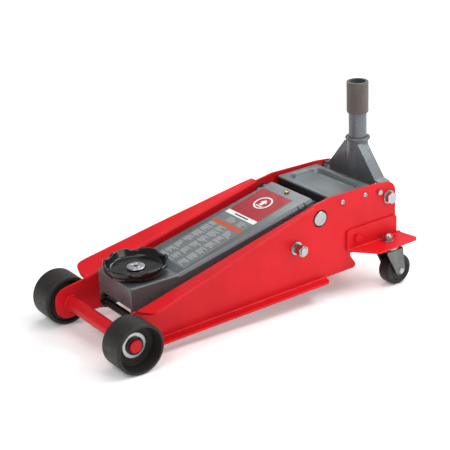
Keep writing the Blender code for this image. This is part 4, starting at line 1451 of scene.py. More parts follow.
@dataclass
class ArmLabel:
    """Printed label on the arm: plain colour panels, a lifting sign and rows of fine bars."""

    slope: float
    base: float
    lift: float = 0.00012
    skew: float = -0.072
    half: float = 0.0425
    red_span: Flat = (0.3210, 0.4050)
    white_span: Flat = (0.3105, 0.3210)
    orange_span: Flat = (0.2780, 0.2865)
    rows_span: Flat = (0.1560, 0.2740)
    row_count: int = 42

    def laid(self, mesh: Mesh, level: int) -> Mesh:
        """Lay a flat piece drawn on z = 0 onto the arm, level sheets of ink up.

        Args:
            mesh: mesh to work on.
            level: number of ink layers below it.

        Returns:
            The mesh, moved.
        """
        rise = self.lift + 0.00012 * level
        return reshape(mesh, lambda x, y, z: (
            x + self.skew * (y - 0.270), y, z + self.base + self.slope * y + rise))

    def panel(self, outline: Sequence[Flat], level: int) -> Mesh:
        """Thin sheet of one outline."""
        return self.laid(prism(outline, 0.0, 0.00022, Axis.Z), level)

    def sign(self) -> Mesh:
        """Lifting sign: an arrow over a bar inside a ring.

        Returns:
            The sign as thin sheets.
        """
        y0 = sum(self.red_span) / 2.0 + 0.0060
        arrow = [(-0.0040, -0.0075), (0.0040, -0.0075), (0.0040, 0.0010), (0.0085, 0.0010),
                 (0.0, 0.0100), (-0.0085, 0.0010), (-0.0040, 0.0010)]
        ring = arc((0.0, 0.0), 0.0190, 0.0, 351.0, 39)
        hole = arc((0.0, 0.0), 0.0158, 0.0, 351.0, 39)
        band = cut(prism(ring, 0.0, 0.00022, Axis.Z), prism(hole, -0.01, 0.01, Axis.Z))
        bar = prism(block_outline(-0.0085, 0.0085, -0.0120, -0.0095), 0.0, 0.00022, Axis.Z)
        mark = merged(prism(arrow, 0.0, 0.00022, Axis.Z), band, bar)
        return self.laid(reshape(mark, lambda x, y, z: (x, y + y0, z)), 2)

    def rows(self) -> Mesh:
        """Fine bars in three columns below the orange strip.

        Returns:
            All the bars.
        """
        spots = []
        y0, y1 = self.rows_span
        for column, left in enumerate((-0.0400, -0.0130, 0.0150)):
            for i in range(self.row_count):
                if (i + 2 * column) % 7 != 3:
                    spots.append((left, y0 + (y1 - y0) * i / (self.row_count - 1), 0.0))
        spots += [(left, y, 0.0) for left in (-0.0180, 0.0130)
                  for y in (0.2920, 0.2960, 0.3000, 0.3040)]
        grown = PRINTED_ROWS.grow(path(spots), PALE_INK, Length=0.0240, Thickness=0.0010,
                                  Seed=4.0)
        return self.laid(grown, 2)

    def build(self) -> None:
        """Lay every panel."""
        h = self.half
        body = "lift_arm"
        sheet = self.panel(block_outline(-h - 0.0015, h + 0.0015, self.rows_span[0] - 0.0060,
                                         self.red_span[1] + 0.0012, 0.0020), 0)
        seat("label_sheet", sheet, body, SHEET_INK, ["arm_label"])
        for name, span, finish in (("red", self.red_span, RED_INK),
                                   ("white", self.white_span, WHITE_INK),
                                   ("orange", self.orange_span, ORANGE_INK)):
            seat("label_%s_panel" % name, self.panel(block_outline(-h, h, *span), 1), body,
                 finish)
        seat("label_black_bar", self.panel(block_outline(-0.0185, 0.0205, 0.3140, 0.3172), 2),
             body, BLACK_INK)
        seat("label_sign", self.sign(), body, WHITE_INK)
        seat("label_rows", self.rows(), body, PALE_INK)


@dataclass
class SaddleHead:
    """Box head that stays level, its front pin, and the cupped saddle with its screw."""

    half: Flat = (0.0554, 0.0600)
    front: float = 0.0402
    seam: float = 0.1338
    top: float = 0.1093
    lip: float = 0.0698
    bottom: float = 0.0345
    wall: float = 0.0045
    bend: float = 0.0048
    pivot: Flat = (0.1045, 0.0880)
    rod_front: Flat = (0.0480, 0.0465)
    saddle_y: float = 0.0863
    saddle_r: float = 0.0573
    saddle_top: float = 0.1300
    saddle_floor: float = 0.1165

    def width(self, y: float) -> float:
        """Half-width of the head at y."""
        share = (y - self.front) / (self.seam - self.front)
        return self.half[0] + (self.half[1] - self.half[0]) * share

    def shell(self, inset: float, radius: float, z0: float, rear: float) -> Mesh:
        """Box with its upright front corners and its long top edges rounded.

        Args:
            inset: distance in from the outline.
            radius: radius in metres.
            z0: height of the open lower edge.
            rear: where the box ends.

        Returns:
            The closed box.
        """
        front, top = self.front + inset, self.top - inset
        wide = self.width(rear) - inset
        near = self.width(front) - inset
        corner = arc((near - radius, front + radius), radius, -90.0, 0.0, 8)
        plan = [(wide, rear)] + corner[::-1] + [(-x, y) for x, y in corner] + [(-wide, rear)]
        rings = []
        steps = 6
        for i in range(steps + 1):
            a = math.radians(90.0 * i / steps)
            shrink = radius * 0.7 * (1.0 - math.cos(a))
            z = top - radius * 0.7 * (1.0 - math.sin(a))
            rings.append([Vector((x - math.copysign(min(abs(x), shrink), x),
                                  max(y, front + shrink * 0.6), z)) for x, y in plan])
        rings.insert(0, [Vector((x, y, z0)) for x, y in plan])
        return skin(rings)

    def box(self) -> Mesh:
        """Bent box with its cheeks, open below and behind.

        Returns:
            The head.
        """
        solid = self.shell(0.0, self.bend, 0.0, self.seam + 0.03)
        inner = self.shell(self.wall, 0.0020, -0.01, self.seam + 0.05)
        swing = arc(self.pivot, self.seam - self.pivot[0], -115.0, 0.0, 24)
        side = rounded([(self.front - 0.001, self.bottom, 0.0), (0.0650, self.bottom, 0.0080)]
                       + [(u, v, 0.0) for u, v in swing]
                       + [(self.seam, self.top + 0.01, 0.0),
                          (self.front - 0.001, self.top + 0.01, 0.0)])
        mouth = prism([(0.0, 0.0), (0.0700, 0.0), (0.0700, self.lip - 0.0080),
                       (0.0560, self.lip), (0.0, self.lip)],
                      -(self.half[0] - self.bend), self.half[0] - self.bend, Axis.X)
        box = cut(solid, inner, mouth)
        box = carve(box, [prism(side, -0.08, 0.08, Axis.X)], "INTERSECT")
        return cut(box, rod((0.0, self.saddle_y), 0.0103, 0.08, 0.12, Axis.Z),
                   rod(self.pivot, 0.0083, -0.0560, 0.0560, Axis.X),
                   rod(self.rod_front, 0.0073, -0.09, 0.09, Axis.X))

    def cup(self) -> Mesh:
        """Saddle casting with six smooth low places round its rim.

        Returns:
            The saddle.
        """
        r, top, floor, seat_z = self.saddle_r, self.saddle_top, self.saddle_floor, self.top
        outline = [(0.0053, 0.0990), (0.0100, 0.0990), (0.0100, floor - 0.0050),
                   (0.0110, floor - 0.0045), (0.0400, seat_z + GAP + 0.0008),
                   (0.0430, seat_z + GAP), (0.0470, seat_z + GAP), (0.0498, 0.1107),
                   (0.0522, 0.1133), (0.0548, 0.1175), (0.0563, 0.1212), (0.0571, 0.1250),
                   (r, top - 0.0024)]
        outline += arc((r - 0.0020, top - 0.0020), 0.0020, 0.0, 90.0, 5)
        outline += [(r - 0.0042, top), (r - 0.0052, top - 0.0008), (r - 0.0066, top - 0.0040),
                    (0.0484, floor + 0.0030), (0.0468, floor + 0.0009), (0.0446, floor),
                    (0.0180, floor - 0.0001), (0.0172, floor - 0.0008),
                    (0.0172, floor - 0.0022), (0.0053, floor - 0.0022)]
        cup = turned(outline, (0.0, self.saddle_y, 0.0), Axis.Z, 180)

        def dented(x: float, y: float, z: float) -> Corner:
            """Lower the rim and pull it in at each of the six places.

            Args:
                x: distance from the middle plane.
                y: distance behind the front axle.
                z: height.

            Returns:
                Its new place.
            """
            dy = y - self.saddle_y
            reach = math.hypot(x, dy)
            share = max(0.0, (z - 0.1190) / (top - 0.1190))
            if reach < 0.044 or share == 0.0:
                return x, y, z
            angle = math.degrees(math.atan2(dy, x)) % 60.0 - 30.0
            offset = abs(math.radians(angle)) * reach
            depth = 0.5 + 0.5 * math.cos(math.pi * min(1.0, max(0.0, offset - 0.0050) / 0.0090))
            pull = 1.0 - 0.022 * depth * share
            return x * pull, self.saddle_y + dy * pull, z - 0.0036 * depth * share
        return reshape(cup, dented)

    def screw(self) -> Mesh:
        """Flat round screw with a hexagon socket and a turned groove.

        Returns:
            The screw.
        """
        z = self.saddle_floor - 0.0022 + GAP
        body = turned([(0.0, 0.0962), (0.0046, 0.0962), (0.0050, 0.0966), (0.0050, z),
                       (0.0140, z), (0.0166, z + 0.0028), (0.0166, z + 0.0042),
                       (0.0156, z + 0.0051), (0.0098, z + 0.0052), (0.0094, z + 0.0047),
                       (0.0076, z + 0.0047), (0.0072, z + 0.0052), (0.0, z + 0.0052)],
                      (0.0, self.saddle_y, 0.0), Axis.Z)
        hexagon = arc((0.0, self.saddle_y), 0.0044, 0.0, 300.0, 5)
        return cut(body, prism(hexagon, z + 0.0012, 0.13, Axis.Z))

    def build(self) -> None:
        """Make the head, the saddle and the screw."""
        seat("head_box", self.box(), "saddle_bracket", GREY, ["saddle_bracket"], edge=0.0005)
        seat("saddle_cup", self.cup(), "saddle", BLACK_GLOSS, ["saddle"])
        seat("saddle_cap_screw", self.screw(), "saddle_bracket", ZINC, ["saddle_screw"],
             edge=0.0002)
        dress(DARK_STEEL, "tie_rod_front_pin", "tie_rod_left", "tie_rod_right")


# ---- fasteners ------------------------------------------------------------------------
@dataclass
class Fasteners:
    """Tie-rod bolt, stay bolt, bracket bolts, yoke bolts and tray screws."""

    outer: float = 0.0868
    rod_pivot: Flat = (0.3700, 0.0980)
    yoke_pivot: Flat = (0.5922, 0.1380)
    stay: Flat = (0.5680, 0.1540)
    bracket_bolt: Flat = (0.5100, 0.0800)

    def washer(self, centre: Flat, bore: float, radius: float, x0: float, x1: float) -> Mesh:
        """Washer with eased edges on the left side.

        Args:
            centre: where the axis crosses its plane.
            bore: radius of the hole.
            radius: radius in metres.
            x0: inner face.
            x1: outer face.

        Returns:
            The washer.
        """
        ease = 0.0003
        return turned([(bore, x0), (radius - ease, x0), (radius, x0 + ease),
                       (radius, x1 - ease), (radius - ease, x1), (bore, x1)],
                      (0.0, *centre), Axis.X, 64)

    def both(self, *meshes: Mesh) -> Mesh:
        """Left-hand bodies together with their mirror images."""
        return merged(*[mirrored(mesh, side) for mesh in meshes for side in Side])

    def build(self) -> None:
        """Make every fastener."""
        p = self.rod_pivot
        shank = turned([(0.0, -0.1095), (0.0072, -0.1105), (0.0079, -0.1095),
                        (0.0079, 0.1095), (0.0072, 0.1105), (0.0, 0.1095)], (0.0, *p), Axis.X,
                       48)
        thread = THREADS.grow(seats(((0.1012, *p), (1.0, 0.0, 0.0))), ZINC, Radius=0.0074,
                              Pitch=0.0015, Length=0.0085)
        left = [self.washer(p, 0.0060, 0.0125, 0.0871, 0.0890),
                hex_head(p, 0.0170, 0.0887, 0.0990, Axis.X),
                hex_head(p, 0.0190, 0.0988, 0.1085, Axis.X), thread]
        seat("tie_rod_through_bolt", merged(shank, self.both(*left)), "chassis", ZINC,
             ["tie_rod_bolt"])
        p = self.stay
        stay = rod(p, 0.0031, -0.0925, 0.0925, Axis.X, 32)
        seat("rear_stay", merged(stay, self.both(hex_head(p, 0.0095, 0.0871, 0.0918, Axis.X))),
             "chassis", ZINC, ["rear_stay_bolt"], edge=0.0002)
        p, y = self.bracket_bolt, self.yoke_pivot
        bolt = merged(rod(p, 0.0040, 0.0768, 0.0950, Axis.X, 32),
                      hex_head(p, 0.0125, 0.0914, 0.0970, Axis.X),
                      hex_head(p, 0.0125, 0.0825, 0.0768, Axis.X))
        shoulder = merged(rod(y, 0.0080, 0.0720, 0.0900, Axis.X),
                          self.washer(y, 0.0060, 0.0130, 0.0871, 0.0888),
                          hex_head(y, 0.0210, 0.0886, 0.0985, Axis.X))
        screws = {"front": (0.4790, 0.1575), "rear": (0.5335, 0.1570)}
        for side in Side:
            seat("bracket_screw_" + side.tag, mirrored(bolt, side), "chassis", RED,
                 ["bracket_bolt_" + side.tag], edge=0.0002)
            seat("yoke_shoulder_bolt_" + side.tag, mirrored(shoulder, side), "handle_yoke", ZINC,
                 ["yoke_bolt_" + side.tag], edge=0.0002)
            for place, centre in screws.items():
                head = turned([(0.0, 0.0745), (0.0026, 0.0745), (0.0026, 0.0872),
                               (0.0050, 0.0872), (0.0050, 0.0880), (0.0043, 0.0894),
                               (0.0026, 0.0903), (0.0, 0.0906)], (0.0, *centre), Axis.X, 40)
                cross = [prism(block_outline(centre[0] - u, centre[0] + u, centre[1] - v,
                                             centre[1] + v), 0.0890, 0.10, Axis.X)
                         for u, v in ((0.0024, 0.0005), (0.0005, 0.0024))]
                seat("pan_screw_%s_%s" % (place, side.tag), mirrored(cut(head, *cross), side),
                     "chassis", ZINC, ["tray_screw_%s_%s" % (place, side.tag)])


# ---- power unit -----------------------------------------------------------------------
@dataclass
class PowerUnit:
    """Cylinder, reservoir and pump block low between the plates, with their seams."""

    axis_z: float = 0.0890

    def build(self) -> None:
        """Dress the solids and add the reservoir seam, filler plug and block screws."""
        dress(RED, "unit_cross_plate", "reservoir")
        dress(DARK_STEEL, "hydraulic_cylinder", "pump_block", "plunger_roller")
        dress(ZINC, "ram", "pump_plunger", "release_valve")
        ring = [(0.0322 * math.cos(a), 0.4864, self.axis_z + 0.0322 * math.sin(a))
                for a in (2.0 * math.pi * i / 48 for i in range(48))]
        seat("reservoir_seam", bead(ring, 0.0016, RED, closed=True), "chassis", RED)
        plug = turned([(0.0, 0.1225), (0.0055, 0.1225), (0.0055, 0.1240), (0.0048, 0.1262),
                       (0.0020, 0.1270), (0.0, 0.1270)], (0.0, 0.5100, 0.0), Axis.Z, 40)
        seat("filler_plug", plug, "chassis", BLACK_PAINT)
        heads = [hex_head((x, z), 0.0100, 0.5690, 0.5745, Axis.Y)
                 for x, z in ((-0.0290, 0.0620), (-0.0290, 0.1150), (0.0290, 0.1150))]
        seat("block_screws", merged(*heads), "chassis", ZINC)


# ---- tray -----------------------------------------------------------------------------
@dataclass
class PartsTray:
    """Pressed tray with a round-cornered pocket, over a black front plate."""

    half: float = 0.0797
    span: Flat = (0.4580, 0.5560)
    top: float = 0.1680
    thick: float = 0.0020
    pocket: tuple[float, float, float] = (0.0690, 0.4720, 0.5450)
    corner: float = 0.0230
    floor: float = 0.1595
    skirt: float = 0.1500

    def ring(self, inset: float, z: float, corner: float) -> list[Vector]:
        """Pocket outline drawn in by inset at height z.

        Args:
            inset: distance in from the outline.
            z: height.
            corner: corner radius before the inset.

        Returns:
            The ring of points.
        """
        x, y0, y1 = self.pocket
        return [Vector((u, v, z)) for u, v in block_outline(
            -x + inset, x - inset, y0 + inset, y1 - inset, max(0.003, corner - inset), 10)]

    def rim(self, inset: float, z: float) -> list[Vector]:
        """Outer outline drawn in by inset; the front edge stays a short lip.

        Args:
            inset: distance in from the outline.
            z: height.

        Returns:
            The ring of points.
        """
        y0, y1 = self.span
        lip = self.top - self.thick - 0.0010
        points = block_outline(-self.half + inset, self.half - inset, y0 + inset, y1 - inset,
                               0.0060 - inset, 10)
        return [Vector((u, v, max(z, lip) if v < y0 + 0.0059 else z)) for u, v in points]

    def build(self) -> None:
        """Press the tray out of one sheet."""
        t, top = self.thick, self.top
        upper = [self.rim(0.0, self.skirt), self.rim(0.0, top - 0.0026)]
        upper += [self.rim(0.0026 * (1.0 - math.cos(a)), top - 0.0026 * (1.0 - math.sin(a)))
                  for a in (math.radians(d) for d in (30.0, 60.0, 90.0))]
        for a in (math.radians(d) for d in (90.0, 67.5, 45.0, 22.5)):
            upper.append(self.ring(0.0018 * (math.cos(a) - math.sin(a)),
                                   top - 0.0022 * (1.0 - math.sin(a)), self.corner))
        deep = top - self.floor
        for a in (math.radians(d) for d in (0.0, 22.5, 45.0, 67.5, 90.0)):
            upper.append(self.ring(0.0042 + 0.0040 * (1.0 - math.cos(a)),
                                   top - deep + 0.0040 * (1.0 - math.sin(a)), self.corner))
        sheet = skin(upper, capped=False)
        bm = bmesh.new()
        bm.from_mesh(sheet)
        rim_edges = [e for e in bm.edges if e.is_boundary
                     and all(v.co.z < self.floor + 1e-4 for v in e.verts)
                     and all(abs(v.co.x) < 0.0660 for v in e.verts)]
        bmesh.ops.contextual_create(bm, geom=rim_edges)
        bmesh.ops.recalc_face_normals(bm, faces=bm.faces)
        if max(bm.faces, key=lambda f: f.calc_area()).normal.z < 0.0:
            bmesh.ops.reverse_faces(bm, faces=bm.faces)
        bm.to_mesh(sheet)
        bm.free()
        holder = held(sheet)
        wall = holder.modifiers.new("wall", "SOLIDIFY")
        wall.thickness = t * 0.8
        wall.offset = -1.0
        seat("pressed_tray", evaluated(holder), "chassis", TRAY_GREY, ["parts_tray"],
             edge=0.0002)
        dress(BLACK_PAINT, "tray_front_plate")


# ---- handle ---------------------------------------------------------------------------
@dataclass
class Handle:
    """Socket yoke with its web and flanges, and the lower tube with a foam sleeve."""

    pivot: Flat = (0.5922, 0.1380)
    collar_z: float = 0.2338
    socket: float = 0.0205
    bore: float = 0.0178
    tube: float = 0.0174
    foam: Flat = (0.2840, 0.3440)
    foam_r: float = 0.0210
    lever: Flat = (0.5922 + 0.0280 * math.sin(math.radians(25.0)),
                   0.1380 - 0.0280 * math.cos(math.radians(25.0)))

    def yoke(self) -> Mesh:
        """Socket, web, side flanges, ears and pump lever as one welded body.

        Returns:
            The yoke.
        """
        y, z = self.pivot
        ly, lz = self.lever
        tube = rod((0.0, y), self.socket, 0.1560, self.collar_z, Axis.Z, 64)
        collar = turned([(0.0, self.collar_z - 0.0030)]
                        + arc((0.0210, self.collar_z), 0.0029, -90.0, 90.0, 12)
                        + [(0.0, self.collar_z + 0.0029)], (0.0, y, 0.0), Axis.Z, 64)
        web = prism([(-0.0640, 0.1550), (0.0640, 0.1550), (0.0640, 0.1690),
                     (0.0175, 0.2255), (-0.0175, 0.2255), (-0.0640, 0.1690)],
                    y - 0.0160, y - 0.0125, Axis.Y)
        yoke = join(tube, collar, web, solver="MANIFOLD")
        for side in Side:
            s = side.value
            leg = rounded([(0.0150, 0.2270, 0.0), (0.0190, 0.2270, 0.0),
                           (0.0668, 0.1692, 0.0040), (0.0823, 0.1672, 0.0035),
                           (0.0823, 0.1450, 0.0), (0.0783, 0.1450, 0.0),
                           (0.0783, 0.1634, 0.0), (0.0635, 0.1655, 0.0)], 6)
            flange = prism([(s * u, v) for u, v in leg], y - 0.0165, y + 0.0075, Axis.Y)
            ear = prism(arc((y, z), 0.0135, 180.0, 360.0, 28)
                        + [(y + 0.0110, 0.1590), (y - 0.0120, 0.1590)],
                        s * 0.0770, s * 0.0824, Axis.X)
            yoke = join(yoke, flange, ear, solver="MANIFOLD")
        arm = rounded([(y - 0.0090, 0.1600, 0.0), (ly - 0.0085, lz, 0.0080),
                       (ly + 0.0060, lz - 0.0080, 0.0080), (ly + 0.0080, lz + 0.0060, 0.0060),
                       (y + 0.0090, 0.1600, 0.0)])
        plate = prism(arm, 0.0125, 0.0175, Axis.X)
        yoke = join(yoke, plate, mirrored(plate, Side.RIGHT), solver="MANIFOLD")
        return cut(yoke, rod((0.0, y), self.bore, 0.1640, 0.25, Axis.Z, 64),
                   rod(self.pivot, 0.0083, -0.09, 0.09, Axis.X, 40),
                   rod(self.lever, 0.0033, -0.03, 0.03, Axis.X, 24), solver="MANIFOLD")

    def welds(self) -> Mesh:
        """Beads where the socket meets the web and the flanges.

        Returns:
            All the beads.
        """
        y = self.pivot[0]
        reach = 0.0140
        side_x = math.sqrt(self.socket ** 2 - reach ** 2)
        beads = []
        for side in Side:
            s = side.value
            up = [(s * (side_x + 0.0006), y - reach + 0.0012, v)
                  for v in (0.1600, 0.1900, 0.2235)]
            beads.append(bead(up, 0.0017, GREY))
            back = [(s * (self.socket - 0.0006), y + w, 0.2262)
                    for w in (-0.0020, 0.0020, 0.0060)]
            beads.append(bead(back, 0.0017, GREY))
        return merged(*beads)

    def build(self) -> None:
        """Make the yoke, the tube and the foam sleeve."""
        y = self.pivot[0]
        seat("yoke_weldment", self.yoke(), "handle_yoke", GREY, ["handle_yoke"], edge=0.0005)
        seat("yoke_welds", self.welds(), "handle_yoke", GREY)
        inner, end = self.tube - 0.0020, self.foam[1]
        tube = turned([(inner, 0.1650), (self.tube, 0.1650), (self.tube, end - 0.0004),
                       (self.tube - 0.0004, end), (inner, end)], (0.0, y, 0.0), Axis.Z)
        seat("handle_lower_tube", tube, "handle", GREY, ["handle_tube"], edge=0.0002)
        low, high = self.foam
        outline = [(self.tube + GAP, low)]
        outline += arc((self.foam_r - 0.0018, low + 0.0018), 0.0018, -90.0, 0.0, 5)
        outline += [(self.foam_r, low + (high - low) * i / 12.0) for i in range(1, 12)]
        outline += arc((self.foam_r - 0.0008, high - 0.0008), 0.0008, 0.0, 90.0, 3)
        outline += [(self.tube + GAP, high)]
        sleeve = turned(outline, (0.0, y, 0.0), Axis.Z, 96)

        def squeezed(px: float, py: float, pz: float) -> Corner:
            """Shallow hollows where the sleeve has been gripped.

            Args:
                px: x of the point.
                py: y of the point.
                pz: z of the point.

            Returns:
                Its new place.
            """
            dx, dy = px, py - y
            reach = math.hypot(dx, dy)
            if reach < self.tube + 0.001:
                return px, py, pz
            a = math.atan2(dy, dx)
            wave = math.sin(3.0 * a + 60.0 * pz) * math.sin(95.0 * (pz - low))
            pull = 1.0 - 0.0045 * (1.0 + wave)
            return px * pull, y + dy * pull, pz
        sleeve_piece = seat("foam_sleeve", reshape(sleeve, squeezed), "handle", FOAM,
                            ["foam_grip"])


# ---- casters --------------------------------------------------------------------------
@dataclass
class Casters:
    """Bent brackets under the rear corners and the swivel casters that they carry."""

    outer: float = 0.0868
    shelf: Flat = (0.0560, 0.0604)
    x: float = 0.1060
    y: float = 0.5740
    trail: float = 0.0170
    radius: float = 0.0300
    width: float = 0.0290

    @property
    def axle(self) -> Flat:
        """Wheel centre, (y, z)."""
        drop = self.radius - WHEEL_R - (self.y + self.trail) * math.sin(PITCH)
        return self.y + self.trail, WHEEL_R + drop / math.cos(PITCH)

    def bracket(self) -> Mesh:
        """L-shaped bracket bent from one strip.

        Returns:
            The bracket.
        """
        half, bend = 0.0020, 0.0042
        middle = self.outer + GAP + half
        low = sum(self.shelf) / 2.0
        t = (self.shelf[1] - self.shelf[0]) / 2.0
        outer, inner = round_fold((middle + bend, low + bend), bend, 180.0, 270.0, 8, half)
        outside = [(middle - half, 0.0985)] + outer[:-1]
        outside += [(middle + bend, low - t), (0.1400, low - t)]
        inside = [(0.1400, low + t), (middle + bend, low + t)] + inner[::-1][1:]
        inside += [(middle + half, 0.0985)]
        sheet = prism(outside + inside, 0.4870, 0.6265, Axis.Y)
        upright = prism(rounded([(0.4870, 0.0540, 0.0), (0.6095, 0.0540, 0.0),
                                 (0.6095, 0.0985, 0.0060), (0.4870, 0.0985, 0.0060)]),
                        self.outer, middle + half + 0.00001, Axis.X)
        plan = prism(rounded([(self.outer, 0.4872, 0.0), (0.1360, 0.5260, 0.0080),
                              (0.1335, 0.6260, 0.0070), (self.outer, 0.6185, 0.0020)]),
                     0.0500, 0.0625, Axis.Z)
        zone = join(upright, plan)
        bracket = carve(sheet, [zone], "INTERSECT")
        return cut(bracket, rod((self.x, self.y), 0.0053, 0.05, 0.07, Axis.Z),
                   rod((0.5100, 0.0800), 0.0043, 0.08, 0.10, Axis.X, 32))

    def fork(self) -> Mesh:
        """Strap bent into a crown and two legs.

        Returns:
            The fork.
        """
        top = self.shelf[0] - GAP - 0.0088
        half, t, bend = 0.0193, 0.0028, 0.0034
        ring = [(half, -0.02)] + arc((half - bend, top - bend), bend, 0.0, 90.0, 8)
        inner = arc((half - bend, top - bend), bend - t, 90.0, 0.0, 8)
        inner += [(half - t, -0.02)]
        left = [(-u, v) for u, v in reversed(ring)]
        under = [(-u, v) for u, v in reversed(inner)]
        strap = prism([(self.x + u, v) for u, v in ring + left + under + inner],
                      self.y - 0.03, self.y + 0.04, Axis.Y)
        wy, wz = self.axle
        outline = rounded([
            (self.y - 0.0175, top + 0.01, 0.0), (self.y - 0.0172, top - 0.0060, 0.0060),
            (wy - 0.0095, wz - 0.0075, 0.0090), (wy + 0.0105, wz - 0.0075, 0.0090),
            (self.y + 0.0214, top - 0.0060, 0.0060), (self.y + 0.0210, top + 0.01, 0.0)])
        fork = carve(strap, [prism(outline, 0.05, 0.16, Axis.X)], "INTERSECT")
        return cut(fork, rod(self.axle, 0.0038, 0.05, 0.16, Axis.X, 32),
                   rod((self.x, self.y), 0.0053, 0.03, 0.06, Axis.Z, 32))

    def raceway(self) -> Mesh:
        """Rolled bearing cup over the crown with its ring of balls.

        Returns:
            The raceway.
        """
        top = self.shelf[0] - GAP
        cup = turned([(0.0060, top - 0.0088), (0.0186, top - 0.0088), (0.0199, top - 0.0080),
                      (0.0205, top - 0.0064), (0.0205, top - 0.0046), (0.0198, top - 0.0034),
                      (0.0186, top - 0.0030), (0.0178, top - 0.0036), (0.0160, top - 0.0052),
                      (0.0060, top - 0.0052)], (self.x, self.y, 0.0), Axis.Z)
        plate = turned([(0.0060, top - 0.0034), (0.0128, top - 0.0034), (0.0142, top - 0.0022),
                        (0.0168, top - 0.0012), (0.0172, top - 0.0004), (0.0165, top),
                        (0.0060, top)], (self.x, self.y, 0.0), Axis.Z)
        balls = BALL_RINGS.grow(seats(((self.x, self.y, top - 0.0040), (0.0, 0.0, 1.0))), ZINC,
                                Ring_Radius=0.0158, Ball_Radius=0.0015, Count=22)
        return merged(cup, plate, balls)

    def wheel(self) -> Mesh:
        """Moulded wheel with a crowned tread and a stepped hub.

        Returns:
            The turned wheel.
        """
        half, r = self.width / 2.0, self.radius
        side = [(0.0038, half), (0.0092, half), (0.0098, half - 0.0006),
                (0.0104, half - 0.0026), (0.0196, half - 0.0030), (0.0205, half - 0.0018),
                (0.0232, half - 0.0010), (0.0262, half - 0.0014)]
        side += arc((r - 0.0060, half - 0.0064), 0.0060, 60.0, 0.0, 6)
        outline = [(q, self.x + w) for q, w in side]
        outline += [(q, self.x - w) for q, w in reversed(side)]
        wy, wz = self.axle
        return turned(outline, (0.0, wy, wz), Axis.X, 80)

    def rivet(self) -> Mesh:
        """Axle rivet with domed heads.

        Returns:
            The rivet.
        """
        wy, wz = self.axle
        half = [(0.0035, 0.0196), (0.0058, 0.0196), (0.0057, 0.0203), (0.0046, 0.0211),
                (0.0024, 0.0214), (0.0, 0.0214)]
        outline = [(r, self.x - w) for r, w in reversed(half)]
        outline += [(r, self.x + w) for r, w in half]
        return turned(outline, (0.0, wy, wz), Axis.X, 40)

    def bolt(self) -> Mesh:
        """Swivel bolt: washer, nut, domed end and a little thread under the shelf.

        Returns:
            The bolt.
        """
        z = self.shelf[1] + GAP
        centre = (self.x, self.y, 0.0)
        washer = turned([(0.0050, z), (0.0112, z), (0.0115, z + 0.0003), (0.0115, z + 0.0013),
                         (0.0112, z + 0.0016), (0.0050, z + 0.0016)], centre, Axis.Z, 56)
        shank = turned([(0.0, self.shelf[0] - 0.0085), (0.0050, self.shelf[0] - 0.0085),
                        (0.0050, z + 0.0090), (0.0066, z + 0.0090), (0.0066, z + 0.0098),
                        (0.0056, z + 0.0122), (0.0034, z + 0.0136), (0.0, z + 0.0140)],
                       centre, Axis.Z, 56)
        nut = hex_head((self.x, self.y), 0.0165, z + 0.0016, z + 0.0093, Axis.Z)
        return merged(washer, shank, nut)

    def build(self) -> None:
        """Make both corners."""
        bracket, fork, race = self.bracket(), self.fork(), self.raceway()
        wheel, rivet, bolt = self.wheel(), self.rivet(), self.bolt()
        for side in Side:
            tag = side.tag
            seat("bent_bracket_" + tag, mirrored(bracket, side), "chassis", RED,
                 ["caster_bracket_" + tag], edge=0.0005)
            seat("swivel_bolt_" + tag, mirrored(bolt, side), "chassis", ZINC,
                 ["caster_bolt_" + tag])
            seat("fork_strap_" + tag, mirrored(fork, side), "caster_fork_" + tag, FORK_GREY,
                 ["caster_fork_" + tag], edge=0.0004)
            seat("fork_raceway_" + tag, mirrored(race, side), "caster_fork_" + tag, ZINC)
            seat("axle_rivet_" + tag, mirrored(rivet, side), "caster_fork_" + tag, ZINC,
                 ["caster_axle_" + tag])
            seat("moulded_wheel_" + tag, mirrored(wheel, side), "caster_wheel_" + tag,
                 TYRE_BLACK, ["caster_wheel_" + tag])


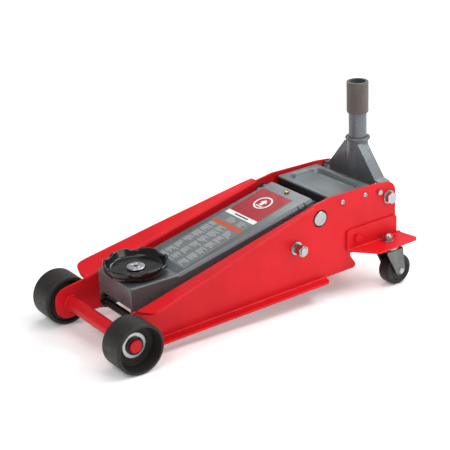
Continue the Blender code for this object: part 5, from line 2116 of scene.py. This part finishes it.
# ---- studio ---------------------------------------------------------------------------
@dataclass
class Studio:
    """Pale floor, soft lights and the camera."""

    camera_place: Corner = (1.7304, -1.2682, 0.9857)
    target: Corner = (-0.0157, -0.0062, 0.1486)
    lens: float = 102.26

    def floor(self) -> None:
        """Wide pale floor just under the wheels; it glows as painted light, weakly round the jack
        and more strongly further out.
        """
        mesh = prism(block_outline(-40.0, 40.0, -40.0, 40.0), -0.02, -0.0002, Axis.Z)
        graph = Graph("glowing_studio_floor")
        graph.drive("Base Color", graph.blend(graph.noise(0.6, 2.0), (0.97, 0.97, 0.97),
                                              (0.96, 0.96, 0.96)))
        graph.settle(Roughness=0.75, Specular_IOR_Level=0.1, Emission_Color=(1.0, 1.0, 1.0))
        # Painted light: the floor glows, dim within half a metre of the jack and rising to near
        # full strength 2.2 m out.
        glow_reach = graph.nodes.new("ShaderNodeVectorMath")
        glow_reach.operation = "LENGTH"
        graph.links.new(graph.place, glow_reach.inputs[0])
        graph.drive("Emission Strength", graph.fit(glow_reach.outputs["Value"], 0.5, 2.2, 0.16, 0.85))
        mesh.materials.append(graph.material)
        floor = bpy.data.objects.new("floor", mesh)
        bpy.context.scene.collection.objects.link(floor)

    def lamp(self, name: str, place: Corner, aim: Corner, size: Flat, power: float) -> None:
        """Rectangular soft light pointed at a place.

        Args:
            name: name to give it.
            place: where it stands.
            aim: point that it faces.
            size: its two sides.
            power: watts.
        """
        light = bpy.data.lights.new(name, "AREA")
        light.shape = "RECTANGLE"
        light.size, light.size_y = size
        light.energy = power
        lamp = bpy.data.objects.new(name, light)
        lamp.location = place
        lamp.rotation_euler = (Vector(aim) - Vector(place)).to_track_quat("-Z", "Y").to_euler()
        bpy.context.scene.collection.objects.link(lamp)

    def build(self) -> None:
        """Set the studio up."""
        scene = bpy.context.scene
        scene.view_settings.view_transform = "Standard"
        world = bpy.data.worlds.new("studio_sky")
        world.use_nodes = True
        world.node_tree.nodes["Background"].inputs["Color"].default_value = (1, 1, 1, 1)
        world.node_tree.nodes["Background"].inputs["Strength"].default_value = 0.30
        scene.world = world
        self.floor()
        self.lamp("key_soft", (0.9, -1.9, 2.3), (0.0, 0.0, 0.1), (1.4, 1.0), 25.0)
        self.lamp("side_soft", (2.4, 0.9, 1.2), (0.0, 0.05, 0.1), (1.4, 1.2), 17.0)
        self.lamp("top_soft", (0.1, 0.1, 2.5), (0.0, 0.0, 0.1), (1.8, 1.8), 21.0)
        self.lamp("edge_strip", (0.75, 1.15, 1.65), (0.0, 0.0, 0.1), (1.0, 0.45), 16.0)
        self.lamp("back_strip", (-1.4, 1.5, 1.9), (0.0, 0.1, 0.1), (1.6, 0.5), 16.0)
        camera = bpy.data.cameras.new("studio_camera")
        camera.lens = self.lens
        camera.sensor_width = 36.0
        camera.clip_end = 50.0
        eye = bpy.data.objects.new("studio_camera", camera)
        eye.location = self.camera_place
        look = Vector(self.target) - Vector(self.camera_place)
        eye.rotation_euler = look.to_track_quat("-Z", "Y").to_euler()
        scene.collection.objects.link(eye)
        scene.camera = eye


def main() -> None:
    """Build the studio and every sub-assembly."""
    logging.basicConfig(level=logging.INFO, format="%(name)s: %(message)s")
    for part in (Studio(), SidePlates(), FrontAxle(), FrontWheels(), LiftArm(), SaddleHead(),
                 Fasteners(), PowerUnit(), PartsTray(), Handle(), Casters()):
        part.build()
        LOG.info("%s done", type(part).__name__)


if __name__ == "__main__":
    main()
